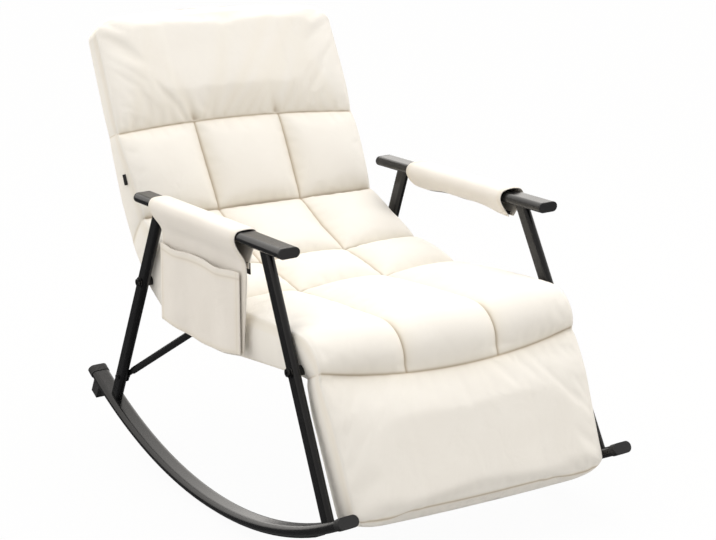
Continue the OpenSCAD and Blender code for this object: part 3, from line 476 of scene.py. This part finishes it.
backRows = [
    {   # the lumbar row
        "front": [seatPoint(458.8, 46.1), seatPoint(545, 73), seatPoint(633, 115)],
        "rear": [(0.0, seatPoint(458.8, -71)), (0.45, seatPoint(545, -52)), (0.8, seatPoint(606, -20)),
                 (1.0, backPoint(0, -34))],
        "cells": 26, "crown": 22.0, "panels": 3, "droop": 0.88,
    },
    {   # the back row
        "front": [seatPoint(633, 115), backPoint(226.5, 22)],
        "rear": [(0.0, backPoint(0, -34)), (0.35, backPoint(87, -40)), (1.0, backPoint(226, -34))],
        "cells": 26, "crown": 23.0, "panels": 3, "droop": 0.82, "flare": (0.0, 9.0), "bow": (13.0, -6.0),
        "gather": 1.4,
    },
    {   # the headrest, plain
        "front": [backPoint(226.5, 22), backPoint(340, 22), backPoint(451, 19)],
        "rear": [(0.0, backPoint(226, -34)), (1.0, backPoint(449, -25))],
        "cells": 36, "crown": 18.0, "panels": 1, "open": True, "flare": (9.0, 5.0), "corner": 16.0,
    },
]

# Creases drawn up from a cross seam: place across, lean, reach, width and depth. The deeper folds are also
# darkened with painted shade
headrestCreases = [
    (-99, -0.45, 20, 8, 14.0), (-84, 0.55, 24, 7, 6.0), (-118, -0.7, 26, 6, 4.5), (-62, 0.35, 42, 7, 4.5),
    (-34, 0.7, 50, 8, 5.5), (-4, 0.85, 40, 7, 4.0), (22, 0.75, 52, 8, 5.5), (50, 0.6, 40, 7, 4.0),
    (76, 0.45, 34, 6, 4.0), (99, -0.25, 22, 8, 14.0), (114, 0.5, 32, 7, 5.0), (-150, -0.3, 26, 7, 3.2),
    (-183, 0.15, 22, 6, 2.8), (-214, 0.25, 28, 8, 3.6), (-250, 0.4, 34, 8, 4.4), (146, 0.3, 26, 7, 3.2),
    (178, 0.1, 24, 7, 3.0), (212, -0.3, 30, 8, 3.6), (250, -0.5, 32, 8, 4.0),
]

# Painted brownish shade where the cloth tucks in at the seams: row, place across, reach across, reach up and
# strength
backTuckShades = [(1, 262, 26, 15, 0.62), (1, -262, 20, 11, 0.4), (2, -101, 17, 12, 0.6), (2, 101, 17, 12, 0.6),
             (1, -101, 9, 10, 0.5), (1, 101, 9, 10, 0.5)]

# Round a pad's side from front to rear: how far out, share of the thickness, rise
gussetPoints = [(-5.0, 0.0, -0.8), (-2.2, 0.025, 0), (-0.2, 0.09, 0), (0.8, 0.24, 0), (1.0, 0.5, 0),
                (0.8, 0.78, 0), (0.9, 0.97, 0), (-0.4, 1.0, 0)]

def pucker(x, distance, key, size=1.0):  # irregular gathers that fade away from a seam
    drift = 5.5 * noise.noise(Vector((x / 46.0, key * 3.7, 0.5)))
    wave = math.sin(x / 4.6 + drift) + 0.6 * math.sin(x / 2.7 + 1.7 * drift + key)
    some = 0.5 + 0.8 * noise.noise(Vector((x / 27.0, key * 1.9, 4.2)))
    return 1.5 * size * max(some, 0.1) * wave * math.exp(-distance / 14.0) * min(1.0, distance / 4.0)

def swell(g, power):
    return max(0.0, math.sin(math.pi * min(max(g, 0.0), 1.0))) ** power

def padStations(rows, s):
    stations, begun = [], 0.0
    for r, row in enumerate(rows):
        length = sum((b - a).length for a, b in zip(row["front"], row["front"][1:]))
        row["seamRun"] = begun + length
        for k in range(0 if r == 0 else 1, row["cells"] + 1):
            t = k / row["cells"]
            isOpen = row.get("open", False)
            t = t ** 1.35 if isOpen else eased(t)
            stations.append({
                "row": r, "t": t, "front": alongLine(row["front"], t), "rear": throughKnots(row["rear"], t),
                "near": t * length, "far": (1 - t) * length, "run": begun + t * length,
                "seam": t < tiny or (t > 1 - tiny and not isOpen), "thin": 1.0, "round": 0.0,
            })
        begun += length
    # the last row turns over its end and closes at the middle of its thickness
    last = stations[-1]
    ahead = (last["front"] - stations[-2]["front"]).normalized()
    halfway = (last["front"] + last["rear"]) / 2
    for k in range(1, s["endSteps"] + 1):
        a = math.radians(90 * k / s["endSteps"])
        middle = halfway + ahead * s["endRadius"] * math.sin(a)
        stations.append({
            **last, "front": middle + (last["front"] - halfway) * math.cos(a),
            "rear": middle + (last["rear"] - halfway) * math.cos(a),
            "thin": math.cos(a), "round": 1 - math.cos(a), "seam": False, "endStep": k,
        })
    return stations

def frontNormal(stations, i, sense):
    a = stations[max(i - 1, 0)]["front"]
    b = stations[min(i + 1, len(stations) - 1)]["front"]
    t = (b - a).normalized()
    return Vector((t.y, -t.x)) * (1 if sense < 0 else -1)

def bowAt(rows, run, place):   # how far the seams hang along the pad at a place across it
    shift = 0.0
    for row in rows:
        deep, ends = row.get("bow", (0.0, 0.0))
        shift += (deep * (1 - place * place) + ends) * math.exp(-((run - row["seamRun"]) / 90) ** 2)
    return shift

def padLoop(s):
    # one turn round the section: front, side, rear and side again, as (kind, place)
    c = s["columnSeam"] / s["half"]
    edges = [-1.0, -c, c, 1.0]
    front = [-1.0]
    for a, b in zip(edges, edges[1:]):
        front += [a + (b - a) * eased(k / s["cellsPerPanel"]) for k in range(1, s["cellsPerPanel"] + 1)]
    side = list(range(len(gussetPoints)))
    loop = [("front", x) for x in front] + [("right", q) for q in side]
    loop += [("rear", x) for x in reversed(front)] + [("left", q) for q in reversed(side)]
    return loop + [loop[0]]

def panelPlace(x, panels, c):
    if panels == 1:
        return (x + 1) / 2
    if x < -c:
        return (x + 1) / (1 - c)
    return (x + c) / (2 * c) if x <= c else (x - c) / (1 - c)

def crossSwell(x, panels, c, edgeFull):
    full = swell(panelPlace(x, panels, c), 0.55 if panels == 3 else 0.36)
    atSide = abs(x) > ((1 + c) / 2 if panels == 3 else 0.5)
    return edgeFull + (1 - edgeFull) * full if atSide else full

def makePad(name, rows, s, sense, creaseRow=None, endWelt=False, arch=0.0, tuckShades=()):
    stations = padStations(rows, s)
    loop = padLoop(s)
    c = s["columnSeam"] / s["half"]
    bm = bmesh.new()
    bmesh.ops.create_grid(bm, x_segments=len(loop) - 1, y_segments=len(stations) - 1, size=1.0)
    uvLayer = bm.loops.layers.uv.new("flatCloth")
    # the seam line, with painted shade of seams, folds and tucks, for the cloth's colour
    seamAndShadeLayer = bm.verts.layers.float.new("seam")
    pinLayer = bm.verts.layers.float.new("pin")
    creaseLayer = bm.edges.layers.float.new("crease_edge")
    ahead = [0.0]
    for a, b in zip(stations, stations[1:]):
        ahead.append(ahead[-1] + (b["front"] - a["front"]).length)
    # sizes round the section, for the cloth's own flat pattern
    around, before = [0.0], loop[0]
    for kind, place in loop[1:]:
        onFace = kind == before[0] and kind in ("front", "rear")
        around.append(around[-1] + (abs(place - before[1]) * s["half"] if onFace else s["gussetStep"]))
        before = (kind, place)
    cells = {}
    for v in bm.verts:
        cells[v] = (round((v.co.x + 1) / 2 * (len(loop) - 1)), round((v.co.y + 1) / 2 * (len(stations) - 1)))
    for f in bm.faces:
        for corner in f.loops:
            j, i = cells[corner.vert]
            corner[uvLayer].uv = (around[j] * mm, ahead[i] * mm)
    sideCount = sum(kind == "left" for kind, q in loop[:-1])
    normals = [frontNormal(stations, i, sense) for i in range(len(stations))]
    line = rows[0]["front"] + [p for row in rows[1:] for p in row["front"][1:]]
    bows = {}
    tipIndex = len(stations) - s["endSteps"] - 1     # the last station before the free end turns over

    def bowedFront(i, x):      # the front of a station, moved along the pad with its seams' bow
        key = (i, round(x, 5))
        if key not in bows:
            st = stations[i]
            shift = bowAt(rows, st["run"], x)
            if st["round"] > 0 or abs(shift) < 0.05:
                bows[key] = st["front"], normals[min(i, tipIndex)]
            else:
                here, heading = along(line, st["run"] + shift)
                bows[key] = here, Vector((heading.y, -heading.x)) * (1 if sense < 0 else -1)
        return bows[key]

    tipAhead = (stations[tipIndex]["front"] - stations[tipIndex - 1]["front"]).normalized()
    for v in bm.verts:
        j, i = cells[v]
        kind, place = loop[j]
        st = stations[i]
        row = rows[st["row"]]
        isOpen = row.get("open", False)
        if kind in ("front", "rear") and row["panels"] == 1:
            # away from its seam a plain row has even cells
            column = j % (len(loop) - 1) if kind == "front" else len(loop) - 2 - j - sideCount
            even = 2 * column / (3 * s["cellsPerPanel"]) - 1
            place += (even - place) * between(0.0, 1.0, st["t"] * 3)
        sideways = place if kind in ("front", "rear") else 1.0
        fore, out = bowedFront(i, sideways)
        flareStart, flareEnd = row.get("flare", (0.0, 0.0))
        flare = flareStart + (flareEnd - flareStart) * (3 * st["t"] ** 2 - 2 * st["t"] ** 3)
        flare *= max(st["thin"], 0.0)
        pull = s["drawIn"] * (math.exp(-st["near"] / 20) + (0 if isOpen else math.exp(-st["far"] / 20)))
        if i == 0:
            pull = s["drawIn"]
        half = s["half"] - pull - s["endRadius"] * 1.15 * st["round"]
        seamAndShadeMask, pinned = 0.0, 1.0
        if isOpen:             # full up to the free end, and thinner over it
            grow = swell(min(st["t"] * 1.3, 0.5), 0.75)
            taper = (1 - 0.25 * st["t"]) * max(st["thin"], 0.0) ** 0.7
        else:
            grow = swell(st["t"] ** row.get("droop", 1.0), 0.55)
            taper = 1.0
        if kind == "front":
            half += flare
            x = place * (half - s["edgeRound"])
            lift = row["crown"] * grow * taper * crossSwell(place, row["panels"], c, s["edgeFull"])
            fromSeam = st["near"] if isOpen else min(st["near"], st["far"])
            columnGap = abs(abs(place) - c) * s["half"] if row["panels"] == 3 else abs(half - abs(x))
            key = st["row"] + (0.5 if st["near"] < st["far"] else 0.0)
            gathers = pucker(x, fromSeam, key, row.get("gather", 1.0))
            lift += gathers * min(1.0, columnGap / s["gatherClear"])
            if st["round"] == 0:
                lift -= s["seamDepth"] * math.exp(-fromSeam / s["seamWidth"])
            if row["panels"] == 3:
                gathers = pucker(st["near"] + 40 * place, columnGap, 7 + round(place * 3), 0.7)
                lift += gathers * min(1.0, fromSeam / s["gatherClear"])
                lift -= s["seamDepth"] * math.exp(-columnGap / s["seamWidth"])
            foldShade = 0.0
            if creaseRow is not None and st["row"] == creaseRow:
                for at, lean, reach, width, deep in headrestCreases:
                    gap = x - at - lean * st["near"]
                    fold = deep * math.exp(-(gap / width) ** 2) * math.exp(-st["near"] / reach)
                    fold *= min(1.0, st["near"] / 5)
                    lift -= fold
                    # the deeper folds are darkened with painted shade
                    foldShade = max(foldShade, fold / 11.0)
            point = fore + out * lift
            # a darker line on the seam, the seam's joint darkened with painted shade of its crease, and
            # painted shade in the folds
            seamAndShadeMask = max(math.exp(-max(fromSeam, 0) / s["seamShadeWidth"]), min(foldShade, 0.8))
            # painted brownish shade where the cloth tucks in
            for tuckRow, at, wide, tall, strength in tuckShades:
                if st["row"] == tuckRow:
                    tuckShade = strength * math.exp(-((x - at) / wide) ** 2 - (st["near"] / tall) ** 2)
                    seamAndShadeMask = max(seamAndShadeMask, tuckShade)
            if row["panels"] == 3:
                seamAndShadeMask = max(seamAndShadeMask, math.exp(-columnGap / s["seamShadeWidth"]))
            onColumn = row["panels"] == 3 and abs(abs(place) - c) < tiny
            onEdge = st["seam"] or abs(abs(place) - 1) < tiny
            pinned = 1.0 if onEdge or onColumn or st["round"] > 0.9 or i == 0 else 0.0
            if st["seam"]:
                seamAndShadeMask = 1.0
            # the welt's groove carries the seam line, darkened with painted shade
            if endWelt and st["round"] > 0:
                welt = st["endStep"] == s["weltStep"]
                if welt:
                    point += out * -2.2 * (1 if abs(place) < 0.999 else 0.4)
                seamAndShadeMask = 1.0 if welt else 0.0
        elif kind == "rear":
            x = place * (half - 1.6)
            belly = 5.0 * (1 - place * place) * st["thin"]
            point = st["rear"] - out * belly
        else:
            sign = 1 if kind == "right" else -1
            thin = max(st["thin"], 0.0)
            shift, share, rise = gussetPoints[place]
            bulge = s["gussetBulge"] * math.sin(math.pi * share) * thin
            x = sign * (half + shift * thin + bulge * (0.4 + grow))
            x += sign * flare * max(0.0, 1 - share) ** 1.3
            full = row["crown"] * grow * taper * s["edgeFull"] * max(0.0, 1 - share) ** 1.5
            point = fore.lerp(st["rear"], share) + out * (rise * thin + full)
            # darker lines along the side's seams, darkened with painted shade like the front's
            seamAndShadeMask = 0.3 if place == 2 else (0.7 if place == 7 or st["seam"] else 0.0)
        # the free end is a shallow arch
        if isOpen and arch:
            point = point + tipAhead * arch * (1 - (x / s["half"]) ** 2) * st["t"] ** 2
        heading = Vector((-out.y, out.x)) * (1 if sense < 0 else -1)
        if isOpen:             # the free end's corners are rounded off, from 82% of the half width outwards
            past = max(0.0, abs(x) / half - 0.82)
            point = point - heading * row["corner"] * past ** 2 / 0.0324 * st["t"] ** 6
        point = point + heading * s["skew"] * (x / s["half"]) * (1 if sense < 0 else -1)
        v.co = Vector((x, point.x, point.y)) * mm
        v[seamAndShadeLayer] = seamAndShadeMask
        v[pinLayer] = pinned
    for e in bm.edges:
        pair = [cells[v] for v in e.verts]
        places = [loop[j] for j, i in pair]
        if any(kind != "front" for kind, place in places):
            continue
        here = [stations[i] for j, i in pair]
        crossSeam = all(st["seam"] for st in here)
        onColumn = all(abs(abs(place) - c) < tiny for kind, place in places)
        quilted = all(rows[st["row"]]["panels"] == 3 or st["seam"] for st in here)
        if crossSeam or (onColumn and quilted):
            e[creaseLayer] = s["crease"]
    bmesh.ops.remove_doubles(bm, verts=bm.verts, dist=1e-5)
    rim = [e for e in bm.edges if e.is_boundary]
    if rim:
        bmesh.ops.holes_fill(bm, edges=rim, sides=0)
    bmesh.ops.recalc_face_normals(bm, faces=bm.faces)
    return finishMesh(name, bm)

def puffUp(obj, s):
    # the cloth is blown up against its pinned seams, then its rise is capped
    mesh = obj.data
    start = np.array([v.co for v in mesh.vertices])
    pin = np.zeros(len(mesh.vertices), np.float32)
    mesh.attributes["pin"].data.foreach_get("value", pin)
    group = obj.vertex_groups.new(name="held")
    group.add([i for i, p in enumerate(pin) if p > 0.5], 1.0, "REPLACE")
    cloth = obj.modifiers.new("puff", "CLOTH")
    cs = cloth.settings
    cs.quality = 5
    cs.mass = 0.25
    cs.tension_stiffness = cs.compression_stiffness = 12.0
    cs.shear_stiffness = 5.0
    cs.bending_stiffness = 0.25
    cs.shrink_min = s["slack"]
    cs.use_pressure = True
    cs.uniform_pressure_force = s["pressure"]
    cs.effector_weights.gravity = 0.0
    cs.vertex_group_mass = "held"
    cloth.collision_settings.use_collision = False
    for f in range(1, s["clothFrames"] + 1):
        scene.frame_set(f)
    depsgraph = bpy.context.evaluated_depsgraph_get()
    shown = obj.evaluated_get(depsgraph)
    end = np.array([v.co for v in shown.data.vertices])
    obj.modifiers.remove(cloth)
    scene.frame_set(1)
    move = end - start
    size = np.linalg.norm(move, axis=1, keepdims=True)
    cap = s["cap"] * mm
    move *= np.where(size > cap, cap / np.maximum(size, 1e-9), 1.0)
    mesh.vertices.foreach_set("co", (start + move).astype(np.float32).ravel())
    mesh.update()
    print(obj.name, "cloth moved by up to", round(float(size.max()) * 1000, 1), "mm")

def refine(obj):
    sub = obj.modifiers.new("soften", "SUBSURF")
    sub.levels = sub.render_levels = 1
    depsgraph = bpy.context.evaluated_depsgraph_get()
    mesh = bpy.data.meshes.new_from_object(obj.evaluated_get(depsgraph))
    obj.modifiers.clear()
    old = obj.data
    obj.data = mesh
    bpy.data.meshes.remove(old)
    mesh.name = obj.name
    mesh.shade_smooth()

def dress(obj, material):
    obj.data.materials.clear()
    obj.data.materials.append(materials[material])

seatPad = makePad("quiltedSeatPad", seatRows, padSettings, -1, endWelt=True, arch=5.0)
puffUp(seatPad, padSettings)
refine(seatPad)
dress(seatPad, "ivoryCloth")
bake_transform(seatPad)
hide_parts("seat_cushion", "seat_under_cover", "footrest_cushion", "footrest_rear_cover")
print("seat pad made:", len(seatPad.data.polygons), "faces")

backPad = makePad("quiltedBackPad", backRows, padSettings, 1, creaseRow=2, arch=16.0, tuckShades=backTuckShades)
puffUp(backPad, padSettings)
refine(backPad)
dress(backPad, "ivoryCloth")
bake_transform(backPad)
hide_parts("back_cushion", "back_rear_cover")
print("back pad made:", len(backPad.data.polygons), "faces")

# Armrest covers, pocket, hook strip and tag. Places along the chair are y, from rear to front

armSettings = {
    "spacing": 295.0, "rearY": 278.0, "rearZ": 567.0, "pitch": 1.708,
    "rightRear": 207.0, "rightFront": -138.0,
    "flapRear": 186.0, "flapFrontHigh": -149.0, "flapFrontLow": -135.0,
    "flapLowRear": 331.0, "flapLowFront": 344.0, "flapSag": 12.0,
    "leftRear": 151.0, "leftFront": -178.0,
    "thick": 2.6,
}

def armHeight(y):
    return armSettings["rearZ"] + (armSettings["rearY"] - y) * math.tan(math.radians(armSettings["pitch"]))

def smoothLine(keys, t):
    # a rounded line through the keys, at a share t of its length
    pts = [Vector(k) for k in keys]
    steps = [(b - a).length for a, b in zip(pts, pts[1:])]
    rest = max(0.0, min(1.0, t)) * sum(steps)
    n = 0
    while n < len(steps) - 1 and rest > steps[n]:
        rest -= steps[n]
        n += 1
    u = rest / steps[n]
    a, b = pts[n], pts[n + 1]
    before = pts[n - 1] if n > 0 else a * 2 - b
    after = pts[n + 2] if n + 2 < len(pts) else b * 2 - a
    return 0.5 * ((2 * a) + (b - before) * u + (2 * before - 5 * a + 4 * b - after) * u * u
                  + (3 * a - before - 3 * b + after) * u ** 3)

def lineLength(placeAt, steps=40):
    points = [Vector(placeAt(k / steps)) for k in range(steps + 1)]
    return sum((b - a).length for a, b in zip(points, points[1:]))

def clothGrid(name, cellsAcross, cellsAlong, placeAt, seamAt, thick, outward):
    bm = bmesh.new()
    bmesh.ops.create_grid(bm, x_segments=cellsAcross, y_segments=cellsAlong, size=0.5)
    uvLayer = bm.loops.layers.uv.new("flatCloth")
    seamAndShadeLayer = bm.verts.layers.float.new("seam")
    flat = {v: (v.co.x + 0.5, v.co.y + 0.5) for v in bm.verts}
    for v in bm.verts:
        a, b = flat[v]
        v.co = Vector(placeAt(a, b)) * mm
        v[seamAndShadeLayer] = seamAt(a, b) if seamAt else 0.0
    # the flat pattern follows the real lengths
    wide = lineLength(lambda a: placeAt(a, 0.5))
    long = lineLength(lambda b: placeAt(0.7, b))
    for f in bm.faces:
        for corner in f.loops:
            a, b = flat[corner.vert]
            corner[uvLayer].uv = (a * wide * mm, b * long * mm)
    area = sum(f.calc_area() for f in bm.faces)
    obj = finishMesh(name, bm)
    wall = obj.modifiers.new("thickness", "SOLIDIFY")
    wall.thickness = thick * mm
    wall.offset = -outward
    sub = obj.modifiers.new("soften", "SUBSURF")
    sub.levels = sub.render_levels = 1
    return obj, (wide * mm, long * mm), area

def flapHem(b):                # the height of the hanging flap's hem
    s = armSettings
    return straight(s["flapLowRear"], s["flapLowFront"], b) - s["flapSag"] * swell(b ** 1.2, 1.2)

def flapWave(drop, b, phase):  # how far the flap waves sideways, more the lower it hangs
    hang = min(1.0, max(0.0, (drop - 60) / 150))
    return 2.2 * hang * math.sin(b * 9.0 + 0.6) + 1.2 * hang * math.sin(b * 19.0 + phase)

def rightWrapAt(a, b):
    # a runs from the inner lip over the tube to the flap's hem, b from the rear to the front
    s = armSettings
    drop = armHeight(straight(s["rightRear"], s["rightFront"], b)) - flapHem(b)
    # the section: outwards from the tube's middle, and up from it
    keys = [(-2.2, -61), (-3.2, -50), (-15, -26), (-24.5, -9), (-26.6, 1), (-21.5, 11.2), (-10, 14.2),
            (0, 14.4), (10, 14.2), (21.5, 11.4), (27.2, 1), (26.4, -10), (20.5, -26), (12.5, -42),
            (9.2, -56), (8.3, -75),
            (8.6, -75 - (drop - 75) * 0.35), (9.6, -75 - (drop - 75) * 0.7), (10.4, -drop)]
    p = smoothLine(keys, a)
    below = max(0.0, -p.y - 8)
    rear = between(s["rightRear"], s["flapRear"], below / 42)
    front = between(s["rightFront"], s["flapFrontHigh"], below / 45)
    front += between(0.0, s["flapFrontLow"] - s["flapFrontHigh"], (below - 60) / 180)
    y = straight(rear, front, b)
    outside = p.x > 0
    wave = flapWave(-p.y, b, a * 5) if outside else 0.0
    soft = 0.9 * noise.noise(Vector((y / 38, a * 9, 2.0)))
    edge = 1.2 * math.exp(-b * (1 - b) * 60)
    x = s["spacing"] + p.x + wave + soft * (0.4 if abs(p.y) < 16 else 1.0) - (edge if outside else -edge)
    return -x, y, armHeight(y) + p.y + 0.5 * soft

def wrapSeam(a, b):            # stitched beside its front and rear edges and along the hem
    return 0.55 * math.exp(-((min(b, 1 - b) - 0.022) / 0.006) ** 2) + (0.5 if abs(a - 0.982) < 0.006 else 0.0)

rightWrap, wrapFlat, wrapArea = clothGrid("rightArmrestWrap", 84, 60, rightWrapAt, wrapSeam,
                                          armSettings["thick"], 1)
dress(rightWrap, "pocketCloth")
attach(rightWrap, "base")
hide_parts("right_armrest_cover")

pocketSettings = {
    "rear": 183.0, "front": -133.0, "mouthRear": 497.0, "mouthFront": 511.0,
    "hem": 4.0,               # the panel ends this far above the flap's hem
    "open": 6.5,              # how far its mouth gapes
}

def pocketAt(a, b):
    # a runs from the mouth down to the hem, b from the rear to the front
    p = pocketSettings
    y = straight(p["rear"], p["front"], b)
    gape = math.exp(-((b - 0.2) / 0.13) ** 2) * 0.8 + math.exp(-((b - 0.76) / 0.14) ** 2)
    mouth = straight(p["mouthRear"], p["mouthFront"], b) - 4.0 * gape
    z = straight(mouth, flapHem(b) + p["hem"], a)
    drop = armHeight(y) - z
    flap = 8.4 + 2.0 * min(1.0, max(0.0, drop - 75) / 160)
    body = swell(b, 0.5) * (2.2 + p["open"] * gape * math.exp(-a * 3.0)) * (1 - a ** 6)
    return -(armSettings["spacing"] + flap + flapWave(drop, b, 4.2) + 3.4 + body), y, z

def pocketSeam(a, b):          # stitched below the mouth, beside its edges and along the hem
    mouth = 0.7 * math.exp(-((a - 0.085) / 0.012) ** 2)
    edges = 0.45 * math.exp(-((min(b, 1 - b) - 0.03) / 0.008) ** 2)
    hem = 0.5 * math.exp(-((a - 0.97) / 0.01) ** 2)
    return max(mouth, edges, hem)

rightPocket, pocketFlat, pocketArea = clothGrid("rightPocket", 36, 64, pocketAt, pocketSeam, 2.4, -1)
dress(rightPocket, "pocketCloth")
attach(rightPocket, "base")
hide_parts("right_pocket_panel")

def leftBag(b):                # how far the left cover sags under its tube
    return 2.5 * math.sin(b * 7.0 + 1.0) + 1.5 * math.sin(b * 15.0)

def leftWrapAt(a, b):
    # a runs from one lip over the tube to the other, b from the rear to the front
    s = armSettings
    y = straight(s["leftRear"], s["leftFront"], b)
    bag = leftBag(b)
    lip = 5.0 * max(0.0, b - 0.6) / 0.4        # the lips hang open towards the front
    lips, under = (1.8 + lip * 0.4, -31 - bag - lip), (11, -25 - bag * 0.7 - lip * 0.5)
    side = [lips, under, (24, -11.5), (28.2, 1), (22.5, 12.3), (10, 15.8)]
    keys = [(-x, up) for x, up in side] + [(0, 16.2)] + side[::-1]
    p = smoothLine(keys, a)
    soft = 0.8 * noise.noise(Vector((y / 34, a * 7, 9.0)))
    return s["spacing"] + p.x + soft * (0.3 if abs(p.y) < 15 else 1.0), y, armHeight(y) + p.y + 0.5 * soft

leftWrap, leftFlat, leftArea = clothGrid("leftArmrestWrap", 56, 52, leftWrapAt, wrapSeam,
                                         armSettings["thick"], 1)
dress(leftWrap, "pocketCloth")
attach(leftWrap, "base")
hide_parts("left_armrest_cover")

def hookStripAt(a, b):
    s = armSettings
    y = straight(s["leftRear"] - 6, s["leftFront"] + 6, b)
    return s["spacing"] + 1.0 + 0.6 * math.sin(b * 11), y, armHeight(y) - 27 - leftBag(b) - 8 * a

leftHook = clothGrid("leftHookStrip", 4, 44, hookStripAt, None, 1.6, 1)[0]
dress(leftHook, "hookTape")
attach(leftHook, "base")
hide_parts("left_cover_fastener")

def sideOfPad(pad, low, high):  # how far the pad's right side reaches where the tag is sewn
    y, z = (low.y + high.y) / 2, (low.z + high.z) / 2
    gapY, gapZ = 0.010, 0.014
    near = [v.co.x for v in pad.data.vertices if abs(v.co.y - y) < gapY and abs(v.co.z - z) < gapZ]
    return min(near) / mm

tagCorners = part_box("side_tag")
tagSide = sideOfPad(backPad, *tagCorners)

def tagAt(a, b):
    low, high = tagCorners
    y = (low.y + high.y) / 2 / mm - restLine + 5 * (0.5 - a) + (b - 0.5) * 9
    z = (low.z + high.z) / 2 / mm + (b - 0.5) * 21 - 2.4 * (0.5 - a)
    return tagSide + 1.0 - 7.0 * math.sin(a * math.pi) ** 0.8, y, z

sideTag = clothGrid("sideTag", 10, 8, tagAt, None, 0.7, 1)[0]
dress(sideTag, "hookTape")
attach(sideTag, "backrest")
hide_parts("side_tag")
print("armrest covers, pocket, hook strip and tag made")

# Finishes of the pieces that come straight from the model

finishBySlot = {"steel": "satinBlackSteel", "zinc": "zincPlate", "rubber": "blackRubber",
                "cream": "ivoryCloth", "lining": "strapLining"}
finishByNode = {"right_cover_fastener": "hookTape", "leg_bolts": "satinBlackSteel",
                "leg_washers": "satinBlackSteel", "brace_bolts": "satinBlackSteel"}
slotOf = {part["node"]: part["material_slot"] for part in record["subparts"]}

for nodeName, obj in nodes.items():
    finish = materials[finishByNode.get(nodeName, finishBySlot[slotOf[nodeName]])]
    if not obj.material_slots:
        obj.data.materials.append(finish)
    for holder in obj.material_slots:
        holder.material = finish
print("finishes set on", len(nodes), "nodes")
